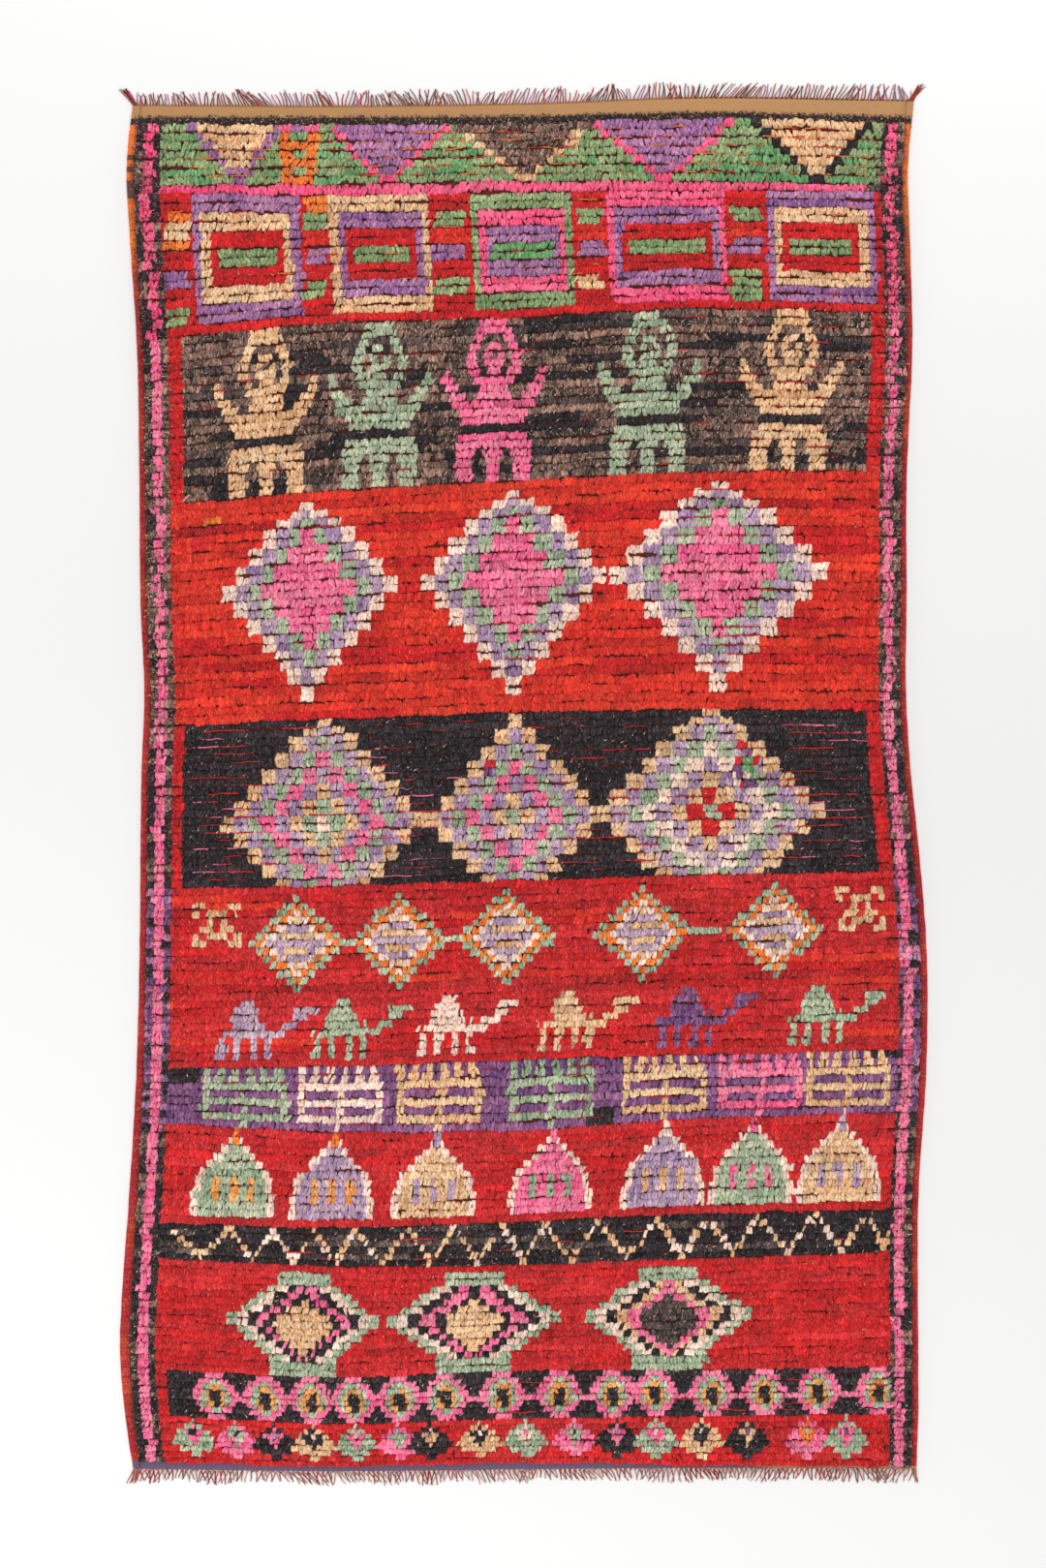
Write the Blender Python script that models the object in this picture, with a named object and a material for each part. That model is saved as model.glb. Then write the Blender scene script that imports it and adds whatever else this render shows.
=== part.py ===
"""A hand-knotted Moroccan pile rug, lying flat: its cloth with the pile's rows raised across it,
the flat-woven binding down each side, and the cut warp fringe at each end.

Metres, +Z up. The rug lies in the XY plane on Z = 0 with its length along Y. Its lines are laid out
from the middle of the cloth, and the finished rug is then centred on the origin.
"""

import bmesh
import bpy
import numpy as np
from mathutils import Vector

MM = 0.001

# Thicknesses
PILE_HEIGHT = 16 * MM
CREVICE_HEIGHT = 12.8 * MM
FLAT_WEAVE_HEIGHT = 4.5 * MM
BINDING_HEIGHT = 8 * MM
BINDING_GROOVE = 2.2 * MM
FRINGE_HEIGHT = 2.4 * MM

# The least gap between two pieces, and the width of the row of twining that the fringe grows from
PIECE_GAP = 0.3 * MM
TWINING_WIDTH = 4.2 * MM

# The fringe: the spacing of its strands and the size of one
STRAND_SPACING = 15.5 * MM
STRAND_WIDTH = 4.4 * MM
TOP_FRINGE_LENGTH = 31 * MM
BOTTOM_FRINGE_LENGTH = 27 * MM

# A strand's two bends: (share of its length, share of its root's width, share of its root's height,
# share of its lean). It thins as the warp yarn opens out.
STRAND_BENDS = ((0.45, 0.85, 0.9, 0.25), (1.0, 0.5, 0.55, 1.0))

# The waves that the strands lie over in along an end: (lean per length, turns per metre)
LEAN_WAVES = ((0.32, 1.45), (0.2, 3.7))
# The waves that their cut ends follow: (share of the length, turns per metre)
TRIM_WAVES = ((0.09, 4.9), (0.04, 12.3))

# How finely the shapes are cut: columns across the cloth, steps down a side, cords in a binding
CLOTH_COLUMNS = 6
SIDE_STEPS = 46
BINDING_CORDS = 3

# Where a pile row's crevice and its crest lie, as shares of the row from its upper side
CREVICE_PLACE = 0.1
CREST_PLACE = 0.55

# The pile stands up from the flat weave at its bottom end within this share of the narrow band there
PILE_END_SHARE = 0.15

# Where the lines across the rug are measured, in mm from the middle line to the right
STATIONS = (-730, -420, 0, 380, 730)

# Each line across the rug, from its top to its bottom: the pile rows between it and the line above,
# and how far above the middle it lies at each of the stations, in mm. The weaving leans and bows.
LINES = (
    # name, rows, far left, left, middle, right, far right
    ("cloth top", 0, 1400, 1398, 1403, 1416, 1411),
    ("gold band ends", 0, 1376, 1376, 1378, 1386, 1378),
    ("pile top", 0, 1362, 1362, 1364, 1376, 1366),
    ("triangles end", 7, 1236, 1238, 1244, 1244, 1238),
    ("pink line ends", 1, 1220, 1216, 1221, 1226, 1222),
    ("squares end", 15, 922, 950, 964, 982, 974),
    ("figures end", 20, 578, 604, 628, 646, 646),
    ("large lozenges end", 26, 122, 134, 150, 156, 154),
    ("tiled lozenges end", 21, -214, -210, -196, -186, -178),
    ("camels end", 24, -584, -582, -566, -556, -548),
    ("combs end", 8, -700, -716, -712, -688, -678),
    ("houses end", 12, -904, -914, -900, -884, -876),
    ("zigzag ends", 6, -978, -992, -990, -976, -964),
    ("medallions end", 16, -1206, -1222, -1208, -1206, -1200),
    ("rosettes end", 8, -1302, -1318, -1306, -1302, -1298),
    ("pile bottom", 8, -1398, -1406, -1398, -1404, -1406),
    ("cloth bottom", 0, -1413, -1417, -1413, -1410, -1411),
)

# The sides, from top to bottom, in mm: the distance above the middle, the rug's two edges measured
# from the middle line, and the width of the binding at each
SIDES = (
    # above middle, left edge, right edge, left binding, right binding
    (1420, -804, 808, 16, 15),
    (1290, -818, 796, 18, 14),
    (1100, -810, 800, 15, 14),
    (920, -798, 804, 14, 14),
    (620, -792, 792, 14, 14),
    (380, -790, 792, 15, 14),
    (180, -782, 791, 15, 14),
    (20, -788, 801, 15, 14),
    (-140, -790, 818, 15, 15),
    (-360, -792, 834, 15, 15),
    (-580, -798, 833, 16, 15),
    (-860, -814, 816, 18, 14),
    (-1020, -826, 815, 21, 14),
    (-1180, -832, 816, 22, 14),
    (-1300, -822, 816, 20, 14),
    (-1420, -804, 812, 16, 14),
)

LEFT, RIGHT = -1, 1
TOP, BOTTOM = 1, -1

# The cloth's last line at each end: (upper line, lower line, share of the way between them)
CLOTH_ENDS = {
    TOP: ("cloth top", "gold band ends", 0),
    BOTTOM: ("pile bottom", "cloth bottom", 1),
}


def clear_scene():
    for obj in list(bpy.data.objects):
        bpy.data.objects.remove(obj, do_unlink=True)


def smooth_curve(places, values, at):
    """A smooth curve through the values at the rising places, straight beyond its ends."""
    places = np.asarray(places, float)
    values = np.asarray(values, float)
    slopes = np.gradient(values, places)
    k = np.clip(np.searchsorted(places, at) - 1, 0, len(places) - 2)
    width = places[k + 1] - places[k]
    t = np.clip((at - places[k]) / width, 0, 1)
    inside = (
        values[k] * (1 + 2 * t) * (1 - t) ** 2
        + values[k + 1] * t * t * (3 - 2 * t)
        + slopes[k] * width * t * (1 - t) ** 2
        + slopes[k + 1] * width * t * t * (t - 1)
    )
    before = np.minimum(at - places[0], 0) * slopes[0]
    after = np.maximum(at - places[-1], 0) * slopes[-1]
    return inside + before + after


def line_y(name, x):
    """How far above the middle the named line lies at x."""
    heights = next(line[2:] for line in LINES if line[0] == name)
    return smooth_curve(STATIONS, heights, x / MM) * MM


def side_column(y, column):
    """One column of the table of sides, read at y."""
    rows = SIDES[::-1]
    places = [row[0] for row in rows]
    values = [row[column] for row in rows]
    return smooth_curve(places, values, y / MM) * MM


def edge_x(y, side):
    """The rug's outer edge."""
    return side_column(y, 1 if side == LEFT else 2)


def binding_inner_x(y, side):
    """The line where a binding meets the cloth."""
    return edge_x(y, side) - side * side_column(y, 3 if side == LEFT else 4)


def side_stations(side):
    """Places down one side where its lines bend: both the cloth and the binding turn only there."""
    top = line_y("cloth top", edge_x(1.4, side))
    bottom = line_y("cloth bottom", edge_x(-1.4, side))
    return np.linspace(bottom, top, SIDE_STEPS + 1)


def cloth_side_x(y, side):
    """The cloth's own side, straight between the side's stations and a gap away from the binding."""
    stations = side_stations(side)
    return np.interp(y, stations, binding_inner_x(stations, side)) - side * PIECE_GAP


def pile_lines():
    """Each line that the cloth's surface bends at, from top to bottom: (upper line, lower line, share
    of the way between them, height). A pile row rises to its crest between two crevices."""
    lines = [(*CLOTH_ENDS[TOP], FLAT_WEAVE_HEIGHT)]
    lines.append(("gold band ends", "pile top", 1, FLAT_WEAVE_HEIGHT))
    for upper, lower in zip(LINES[2:-2], LINES[3:-1]):
        rows = lower[1]
        for row in range(rows):
            crevice = (row + CREVICE_PLACE) / rows
            crest = (row + CREST_PLACE) / rows
            lines.append((upper[0], lower[0], crevice, CREVICE_HEIGHT))
            lines.append((upper[0], lower[0], crest, PILE_HEIGHT))
    lines.append(("pile bottom", "cloth bottom", 0, CREVICE_HEIGHT))
    lines.append(("pile bottom", "cloth bottom", PILE_END_SHARE, FLAT_WEAVE_HEIGHT))
    lines.append((*CLOTH_ENDS[BOTTOM], FLAT_WEAVE_HEIGHT))
    return lines


def between(upper, lower, share, x):
    """The height above the middle of a line part of the way from one named line to the next."""
    return line_y(upper, x) * (1 - share) + line_y(lower, x) * share


def cloth_line(upper, lower, share):
    """The points of one line across the cloth, from its left side to its right. Where it meets a side
    depends on its own lean, so the two ends are found by a few steps towards them."""
    left_x = right_x = 0.0
    for _ in range(4):
        left_x = cloth_side_x(between(upper, lower, share, left_x), LEFT)
        right_x = cloth_side_x(between(upper, lower, share, right_x), RIGHT)
    x = np.linspace(left_x, right_x, CLOTH_COLUMNS + 1)
    return x, between(upper, lower, share, x)


def finish(name, bm, material):
    """Turns the mesh being built into an object with its material."""
    bmesh.ops.recalc_face_normals(bm, faces=bm.faces)
    mesh = bpy.data.meshes.new(name)
    bm.to_mesh(mesh)
    bm.free()
    mesh.materials.append(material)
    obj = bpy.data.objects.new(name, mesh)
    bpy.context.scene.collection.objects.link(obj)
    return obj


def wool(name, colour):
    """Dyed wool: no gloss and no metal."""
    material = bpy.data.materials.new(name)
    material.use_nodes = True
    shader = material.node_tree.nodes["Principled BSDF"]
    shader.inputs["Base Color"].default_value = (*colour, 1)
    shader.inputs["Roughness"].default_value = 0.95
    shader.inputs["Metallic"].default_value = 0
    return material


def add_cloth():
    """The woven cloth in one piece: flat bands at its ends and rows of knotted pile between them."""
    bm = bmesh.new()
    top_lines = []
    for upper, lower, share, height in pile_lines():
        x, y = cloth_line(upper, lower, share)
        top_lines.append([bm.verts.new((x[i], y[i], height)) for i in range(len(x))])
    for above, below in zip(top_lines, top_lines[1:]):
        for i in range(CLOTH_COLUMNS):
            bm.faces.new((above[i], below[i], below[i + 1], above[i + 1]))
    feet = {}
    for line in top_lines:
        for vert in (line[0], line[-1]):
            feet[vert] = bm.verts.new((vert.co.x, vert.co.y, 0))
    for vert in top_lines[0][1:-1] + top_lines[-1][1:-1]:
        feet[vert] = bm.verts.new((vert.co.x, vert.co.y, 0))
    left = [line[0] for line in top_lines]
    right = [line[-1] for line in reversed(top_lines)]
    rim = left + top_lines[-1][1:] + right[1:] + top_lines[0][1:-1][::-1]
    for here, after in zip(rim, rim[1:] + rim[:1]):
        bm.faces.new((here, after, feet[after], feet[here]))
    bm.faces.new([feet[vert] for vert in rim])
    return finish("rug_cloth", bm, wool("red wool pile", (0.46, 0.02, 0.025)))


def binding_section():
    """Points across a binding from its inner foot over its cords to its outer foot, as (share of the
    width from the inner line, height)."""
    points = [(0, 0), (0, BINDING_HEIGHT - BINDING_GROOVE)]
    for cord in range(BINDING_CORDS):
        points.append(((cord + 0.5) / BINDING_CORDS, BINDING_HEIGHT))
        points.append(((cord + 1) / BINDING_CORDS, BINDING_HEIGHT - BINDING_GROOVE))
    return points + [(1, 0)]


def add_binding(name, side):
    """The flat-woven edge over the outermost warps, which lie in it as ribs along the side."""
    bm = bmesh.new()
    stations = side_stations(side)
    ends = {0: "cloth bottom", SIDE_STEPS: "cloth top"}
    rings = []
    for k, y in enumerate(stations):
        inner = binding_inner_x(y, side)
        outer = edge_x(y, side)
        ring = []
        for share, height in binding_section():
            x = inner + (outer - inner) * share
            level = line_y(ends[k], x) if k in ends else y
            ring.append(bm.verts.new((x, level, height)))
        rings.append(ring)
    for here, after in zip(rings, rings[1:]):
        for i in range(len(here)):
            j = (i + 1) % len(here)
            bm.faces.new((here[i], here[j], after[j], after[i]))
    bm.faces.new(rings[0])
    bm.faces.new(rings[-1])
    return finish(name, bm, wool("rust wool " + name, (0.42, 0.06, 0.03)))


def waves(table, x, end):
    """A sum of waves along an end of the rug, with another start at each end."""
    return sum(size * np.sin(2 * np.pi * turns * x + turns * end) for size, turns in table)


def strand_roots(left, right):
    """The two sides of each strand's root between two posts, evenly spaced."""
    count = max(1, round((right - left) / STRAND_SPACING))
    middles = left + (np.arange(count) + 0.5) * (right - left) / count
    return [(middle - STRAND_WIDTH / 2, middle + STRAND_WIDTH / 2) for middle in middles]


def add_fringe(name, end, length):
    """The warp ends beyond one end of the cloth, and the row of twining that locks their roots. The
    row follows the cloth's end from post to post, and its faces between two posts are flat."""
    bm = bmesh.new()
    cloth_x, cloth_y = cloth_line(*CLOTH_ENDS[end])
    rug_left = edge_x(cloth_y[0], LEFT)
    rug_right = edge_x(cloth_y[-1], RIGHT)
    posts = [rug_left, *cloth_x, rug_right]
    levels = [between(*CLOTH_ENDS[end], x) for x in posts]

    def pillar(x, out):
        y = np.interp(x, posts, levels) + end * (PIECE_GAP + out)
        return bm.verts.new((x, y, 0)), bm.verts.new((x, y, FRINGE_HEIGHT))

    def wall(a, b):
        return bm.faces.new((a[0], b[0], b[1], a[1]))

    rear = [pillar(x, 0) for x in posts]
    fore = [pillar(x, TWINING_WIDTH) for x in posts]
    roots = []
    for k in range(len(posts) - 1):
        front = [fore[k]]
        for left, right in strand_roots(posts[k], posts[k + 1]):
            front += [pillar(left, TWINING_WIDTH), pillar(right, TWINING_WIDTH)]
            roots.append(wall(front[-2], front[-1]))
        front.append(fore[k + 1])
        for i in range(0, len(front), 2):
            wall(front[i], front[i + 1])
        for level in (0, 1):
            bm.faces.new([pair[level] for pair in (*front, rear[k + 1], rear[k])])
        wall(rear[k], rear[k + 1])
    wall(rear[0], fore[0])
    wall(rear[-1], fore[-1])
    for root in roots:
        add_strand(bm, root, end, length)
    return finish(name, bm, wool("wool warp " + name, (0.38, 0.13, 0.1)))


def add_strand(bm, root, end, length):
    """One strand drawn out of its root in two bends. Its underside stays level on the floor."""
    start = root.calc_center_median()
    reach = length * (1 - sum(size for size, turns in TRIM_WAVES) + waves(TRIM_WAVES, start.x, end))
    lean = waves(LEAN_WAVES, start.x, end)
    face = root
    for along, width, height, leaning in STRAND_BENDS:
        before = face.calc_center_median()
        face = bmesh.ops.extrude_discrete_faces(bm, faces=[face])["faces"][0]
        for vert in face.verts:
            vert.co.x = start.x + reach * lean * leaning + (vert.co.x - before.x) * width
            vert.co.y = start.y + end * reach * along
            if vert.co.z > 0:
                vert.co.z = FRINGE_HEIGHT * height


def centre_on_origin(objects):
    """Moves every point so that the whole rug is centred on the origin and stands on Z = 0."""
    points = [vert.co for obj in objects for vert in obj.data.vertices]
    low = Vector([min(point[axis] for point in points) for axis in range(3)])
    high = Vector([max(point[axis] for point in points) for axis in range(3)])
    shift = Vector(((low.x + high.x) / 2, (low.y + high.y) / 2, low.z))
    for obj in objects:
        for vert in obj.data.vertices:
            vert.co -= shift


def build_rug():
    clear_scene()
    objects = [
        add_cloth(),
        add_binding("binding_left", LEFT),
        add_binding("binding_right", RIGHT),
        add_fringe("fringe_top", TOP, TOP_FRINGE_LENGTH),
        add_fringe("fringe_bottom", BOTTOM, BOTTOM_FRINGE_LENGTH),
    ]
    centre_on_origin(objects)


build_rug()
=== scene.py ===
"""The looks of a hand-knotted Moroccan wool rug: every knot of its pile, its woven ends, its side
bindings and its fringe, laid out on the lines that the CAD model uses.

Metres, +Z up. The rug lies on Z = 0 with its length along Y. Tables and layout functions work from
the middle of the cloth, as the CAD source does, and CENTRE moves them to where the frame has them.
"""

import math

import bpy
import numpy as np
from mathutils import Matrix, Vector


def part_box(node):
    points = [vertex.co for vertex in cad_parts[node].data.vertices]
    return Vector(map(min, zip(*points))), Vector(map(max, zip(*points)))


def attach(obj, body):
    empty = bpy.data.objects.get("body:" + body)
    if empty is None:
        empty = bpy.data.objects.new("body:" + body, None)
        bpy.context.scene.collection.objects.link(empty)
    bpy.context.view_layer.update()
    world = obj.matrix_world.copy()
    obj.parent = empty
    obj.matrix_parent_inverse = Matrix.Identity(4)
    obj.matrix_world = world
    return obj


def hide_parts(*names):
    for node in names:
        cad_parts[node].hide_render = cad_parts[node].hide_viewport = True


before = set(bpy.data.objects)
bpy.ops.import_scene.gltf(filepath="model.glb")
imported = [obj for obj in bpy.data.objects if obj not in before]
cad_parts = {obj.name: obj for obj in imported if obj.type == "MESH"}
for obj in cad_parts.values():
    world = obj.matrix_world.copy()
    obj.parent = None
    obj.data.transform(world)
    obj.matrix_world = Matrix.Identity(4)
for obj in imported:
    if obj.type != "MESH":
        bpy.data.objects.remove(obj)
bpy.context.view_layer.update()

MM = 0.001
rng = np.random.default_rng(1974)

# Layout

# Where the lines across the rug are measured, in mm from the middle line to the right
STATIONS = (-730, -420, 0, 380, 730)

# Each line across the rug, from its top to its bottom: the pile rows between it and the line above,
# and how far above the middle it lies at each of the stations, in mm. The weaving leans and bows.
LINES = (
    # name, rows, far left, left, middle, right, far right
    ("cloth top", 0, 1400, 1398, 1403, 1416, 1411),
    ("gold band ends", 0, 1376, 1376, 1378, 1386, 1378),
    ("pile top", 0, 1362, 1362, 1364, 1376, 1366),
    ("triangles end", 7, 1236, 1238, 1244, 1244, 1238),
    ("pink line ends", 1, 1220, 1216, 1221, 1226, 1222),
    ("squares end", 15, 922, 950, 964, 982, 974),
    ("figures end", 20, 578, 604, 628, 646, 646),
    ("large lozenges end", 26, 122, 134, 150, 156, 154),
    ("tiled lozenges end", 21, -214, -210, -196, -186, -178),
    ("camels end", 24, -584, -582, -566, -556, -548),
    ("combs end", 8, -700, -716, -712, -688, -678),
    ("houses end", 12, -904, -914, -900, -884, -876),
    ("zigzag ends", 6, -978, -992, -990, -976, -964),
    ("medallions end", 16, -1206, -1222, -1208, -1206, -1200),
    ("rosettes end", 8, -1302, -1318, -1306, -1302, -1298),
    ("pile bottom", 8, -1398, -1406, -1398, -1404, -1406),
    ("cloth bottom", 0, -1413, -1417, -1413, -1410, -1411),
)

# The sides, from top to bottom, in mm: the distance above the middle, the rug's two edges measured
# from the middle line, and the width of the binding at each
SIDES = (
    # above middle, left edge, right edge, left binding, right binding
    (1420, -804, 808, 16, 15),
    (1290, -818, 796, 18, 14),
    (1100, -810, 800, 15, 14),
    (920, -798, 804, 14, 14),
    (620, -792, 792, 14, 14),
    (380, -790, 792, 15, 14),
    (180, -782, 791, 15, 14),
    (20, -788, 801, 15, 14),
    (-140, -790, 818, 15, 15),
    (-360, -792, 834, 15, 15),
    (-580, -798, 833, 16, 15),
    (-860, -814, 816, 18, 14),
    (-1020, -826, 815, 21, 14),
    (-1180, -832, 816, 22, 14),
    (-1300, -822, 816, 20, 14),
    (-1420, -804, 812, 16, 14),
)

LEFT, RIGHT = -1, 1
TOP, BOTTOM = 1, -1


def smooth_curve(places, values, at):
    """A smooth curve through the values at the rising places, straight beyond its ends."""
    places = np.asarray(places, float)
    values = np.asarray(values, float)
    at = np.asarray(at, float)
    slopes = np.gradient(values, places)
    k = np.clip(np.searchsorted(places, at) - 1, 0, len(places) - 2)
    width = places[k + 1] - places[k]
    t = np.clip((at - places[k]) / width, 0, 1)
    inside = (
        values[k] * (1 + 2 * t) * (1 - t) ** 2
        + values[k + 1] * t * t * (3 - 2 * t)
        + slopes[k] * width * t * (1 - t) ** 2
        + slopes[k + 1] * width * t * t * (t - 1)
    )
    before = np.minimum(at - places[0], 0) * slopes[0]
    after = np.maximum(at - places[-1], 0) * slopes[-1]
    return inside + before + after


def line_y(name, x):
    """How far above the middle the named line lies at x."""
    heights = next(line[2:] for line in LINES if line[0] == name)
    return smooth_curve(STATIONS, heights, np.asarray(x) / MM) * MM


def side_column(y, column):
    """One column of the table of sides, read at y."""
    rows = SIDES[::-1]
    places = [row[0] for row in rows]
    values = [row[column] for row in rows]
    return smooth_curve(places, values, np.asarray(y) / MM) * MM


def edge_x(y, side):
    """The rug's outer edge."""
    return side_column(y, 1 if side == LEFT else 2)


def binding_inner_x(y, side):
    """The line where a binding meets the cloth."""
    return edge_x(y, side) - side * side_column(y, 3 if side == LEFT else 4)


def between(upper, lower, share, x):
    """The height above the middle of a line part of the way from one named line to the next."""
    return line_y(upper, x) * (1 - share) + line_y(lower, x) * share


# The rounds in which meets comes close enough to where a line and an edge cross
CROSSING_ROUNDS = 4


def meets(height_at, edge_at):
    """Where a line across the rug meets an edge at the left and at the right. The line's height
    depends on x and the edge's x on the height, so each place is found in a few rounds."""
    left = right = 0.0
    for _ in range(CROSSING_ROUNDS):
        left = edge_at(height_at(left), LEFT)
        right = edge_at(height_at(right), RIGHT)
    return left, right


# Pattern

# The knots in one row of pile, from one binding to the other
KNOTS = 220

# Each band of the pile: its last line, the line above it and its first and last row of knots
BANDS = {}
for above, line in zip(LINES[2:], LINES[3:-1]):
    done = sum(band[3] for band in BANDS.values())
    BANDS[line[0]] = (above[0], line[0], done, line[1])
ROWS = sum(band[3] for band in BANDS.values())

# The letters that charts use for the yarns. A dot leaves the knot as it is.
RED, CRIMSON, VERMILION, PINK, ROSE, LILAC, MAUVE, VIOLET = "rcvpflau"
SAGE, MINT, GREEN, TAN, CREAM, ORANGE, AMBER, BLACK, HEATHER, DUSK = "smgteonkhd"


def by_band(table):
    """What each band takes from a table whose rows name the last band that they hold for."""
    rows = iter(table)
    row = next(rows)
    taken = {}
    for name in BANDS:
        taken[name] = row[1:]
        if name == row[0]:
            row = next(rows, None)
    return taken


def row_middle(row, x):
    """How far above the middle of the rug a row's middle lies at x, for a row that may be a share."""
    for above, last, first, rows in BANDS.values():
        if row < first + rows:
            break
    return between(above, last, (row + 0.5 - first) / rows, x)


def knot_at(x, row):
    """The knot in a row that lies at x, in mm right of the middle line."""
    y = row_middle(row, x * MM)
    left = binding_inner_x(y, LEFT) / MM
    right = binding_inner_x(y, RIGHT) / MM
    return int(round((x - left) / (right - left) * KNOTS))


class Chart:
    """The whole pattern: one letter for each knot of each row."""

    def __init__(self):
        self.knots = np.full((ROWS, KNOTS), RED)
        self.first, self.rows = 0, ROWS

    def band(self, name):
        """From here on, rows are counted from this band's first row."""
        self.first, self.rows = BANDS[name][2:]

    def bar(self, row, rows, start, end, yarn):
        """Fills some rows between two places, in mm from the middle line."""
        middle = self.first + row + rows / 2
        a, b = knot_at(start, middle), knot_at(end, middle)
        self.knots[self.first + row : self.first + row + rows, max(a, 0) : b] = yarn

    def span(self, row, start, count, yarn):
        """Fills some knots of one row from a given knot."""
        if 0 <= row < self.rows:
            self.knots[self.first + row, max(start, 0) : max(start + count, 0)] = yarn

    def stamp(self, lines, row, middle, names=None):
        """Puts a small chart on the pattern with its middle at a place in mm. names turns the
        chart's letters into yarns."""
        names = names or {}
        start = knot_at(middle, self.first + row + len(lines) / 2) - len(lines[0]) // 2
        for i, line in enumerate(lines):
            for j, letter in enumerate(line):
                if letter != ".":
                    self.span(row + i, start + j, 1, names.get(letter, letter))


def mottle(chart, start, end, yarns, shortest=6, longest=60):
    """Fills each row between two places with runs of yarns of nearly one colour, as a weaver who
    knots from several small dye lots leaves them. yarns is a string, a letter for each share."""
    for row in range(chart.rows):
        at = knot_at(start, chart.first + row + 0.5)
        last = knot_at(end, chart.first + row + 0.5)
        while at < last:
            count = int(rng.integers(shortest, longest))
            chart.span(row, at, min(count, last - at), rng.choice(list(yarns)))
            at += count


# Lozenges, which most bands are built on

def lozenge(chart, row, middle, steps, tile, rings):
    """A stepped lozenge of tiles. steps gives the rows of each step from the top one down, tile the
    width of one tile in mm, and rings the yarns from the rim to the heart."""
    reach = len(rings) - 1
    start = row
    for step, rows in enumerate(steps):
        down = abs(step - reach)
        for across in range(-(reach - down), reach - down + 1):
            yarn = rings[reach - min(abs(across) + down, reach)]
            x = middle + across * tile
            chart.bar(start, rows, x - tile / 2, x + tile / 2, yarn)
        start += rows


# The band of hanging triangles

TRIANGLES = (
    # left, right and point in mm from the middle line, filling, outline
    (-694, -500, -582, TAN, LILAC),
    (-404, -152, -282, LILAC, ROSE),
    (-142, 144, 4, HEATHER, TAN),
    (144, 434, 292, LILAC, ROSE),
    (470, 722, 610, TAN, BLACK),
)
TRIANGLE_OUTLINE = 19

# The orange block between the first two triangles: a row's outer yarn, and of its short centre bar
ORANGE_BARS = ((ROSE, LILAC), (ORANGE, SAGE), (ORANGE, ORANGE), (ORANGE, SAGE), (ORANGE, ORANGE),
               (ORANGE, SAGE), (ORANGE, ORANGE))


def triangles_band(chart):
    chart.band("triangles end")
    mottle(chart, -760, 770, "ssssg", 3, 16)
    for row, (outer, inner) in enumerate(ORANGE_BARS):
        chart.bar(row, 1, -502, -424, outer)
        chart.bar(row, 1, -478, -448, inner)
    for left, right, point, filling, outline in TRIANGLES:
        for row in range(chart.rows):
            share = row / chart.rows
            a = left + (point - left) * share
            b = right + (point - right) * share
            chart.bar(row, 1, a, b, outline)
            if b - a > 3 * TRIANGLE_OUTLINE:
                chart.bar(row, 1, a + TRIANGLE_OUTLINE, b - TRIANGLE_OUTLINE, filling)
    chart.bar(0, 1, -760, -694, SAGE)
    chart.bar(0, 1, -142, 144, HEATHER)
    chart.band("pink line ends")
    chart.bar(0, 1, -748, 712, ROSE)
    chart.bar(0, 1, 712, 760, HEATHER)


# The band of squares in squares

SQUARES = (
    # left and right in mm from the middle line, the yarns from the outer ring to the heart
    (-676, -460, "ltrs"),
    (-396, -192, "tlrs"),
    (-106, 102, "sflg"),
    (174, 420, "flrs"),
    (504, 726, "ltrs"),
)
SQUARE_ROWS = 14
# Each square's rings are two rows deep and this wide, in mm
RING_WIDTH = 15

# The stacks of bars between the squares: (left, right, a yarn for each row)
BAR_STACKS = (
    (-742, -686, "rrottorrllrrss"),
    (-450, -404, "oossvvllrrssrr"),
    (-184, -116, "rrssvvllrrssrr"),
    (112, 166, "rrssvvllrrttrr"),
    (428, 494, "rrssvvllrrssss"),
)


def squares_band(chart):
    chart.band("squares end")
    mottle(chart, -760, 770, "rrrcr")
    for left, right, yarns in SQUARES:
        for ring, yarn in enumerate(yarns):
            inset = ring * RING_WIDTH
            rows = SQUARE_ROWS - 4 * ring
            chart.bar(2 * ring, rows, left + inset, right - inset, yarn)
    for left, right, yarns in BAR_STACKS:
        for row, yarn in enumerate(yarns):
            ragged = rng.integers(-6, 7)
            chart.bar(row, 1, left + ragged, right + ragged, yarn)


# The band of figures. Each has a lozenge for a head, both arms raised, a belt and three skirt panels.

FIGURE = (
    "...........FFFFFFFF...........",
    "..........FFFFFFFFFF..........",
    ".........FFF......FFF.........",
    "........FFF..FFFF..FFF........",
    ".......FFF..FF..FF..FFF.......",
    ".......FFF..FFFFFF..FFF.......",
    "FF......FFF..FFFF..FFF......FF",
    "FFF......FFFFFFFFFFFF......FFF",
    ".FFFF......FFFFFFFF......FFFF.",
    "..FFFFF...FFFFFFFFFF...FFFFF..",
    "...FFFFFFFFFFFFFFFFFFFFFFFF...",
    ".....FFFFFFFFFFFFFFFFFFFF.....",
    "......FFFFFFFFFFFFFFFFFF......",
    "......kkkkkkkkkkkkkkkkkk......",
    ".....FFFFFFFFFFFFFFFFFFFF.....",
    "....FFFFFFFFFFFFFFFFFFFFFF....",
    "....FFFFFF..FFFFFF..FFFFFF....",
    "....FFFFF....FFFF....FFFFF....",
    "....FFFFF....FFFF....FFFFF....",
    "....FFFFF....FFFF....FFFFF....",
)
FIGURES = ((-530, TAN), (-294, MINT), (-62, PINK), (260, MINT), (552, TAN))


def figures_band(chart):
    chart.band("figures end")
    chart.bar(0, chart.rows, -760, 780, RED)
    mottle(chart, -716, 730, "hhhhhkkd", 5, 26)
    for middle, yarn in FIGURES:
        chart.stamp(FIGURE, 0, middle, {"F": yarn})


# The two bands of large lozenges

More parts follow.
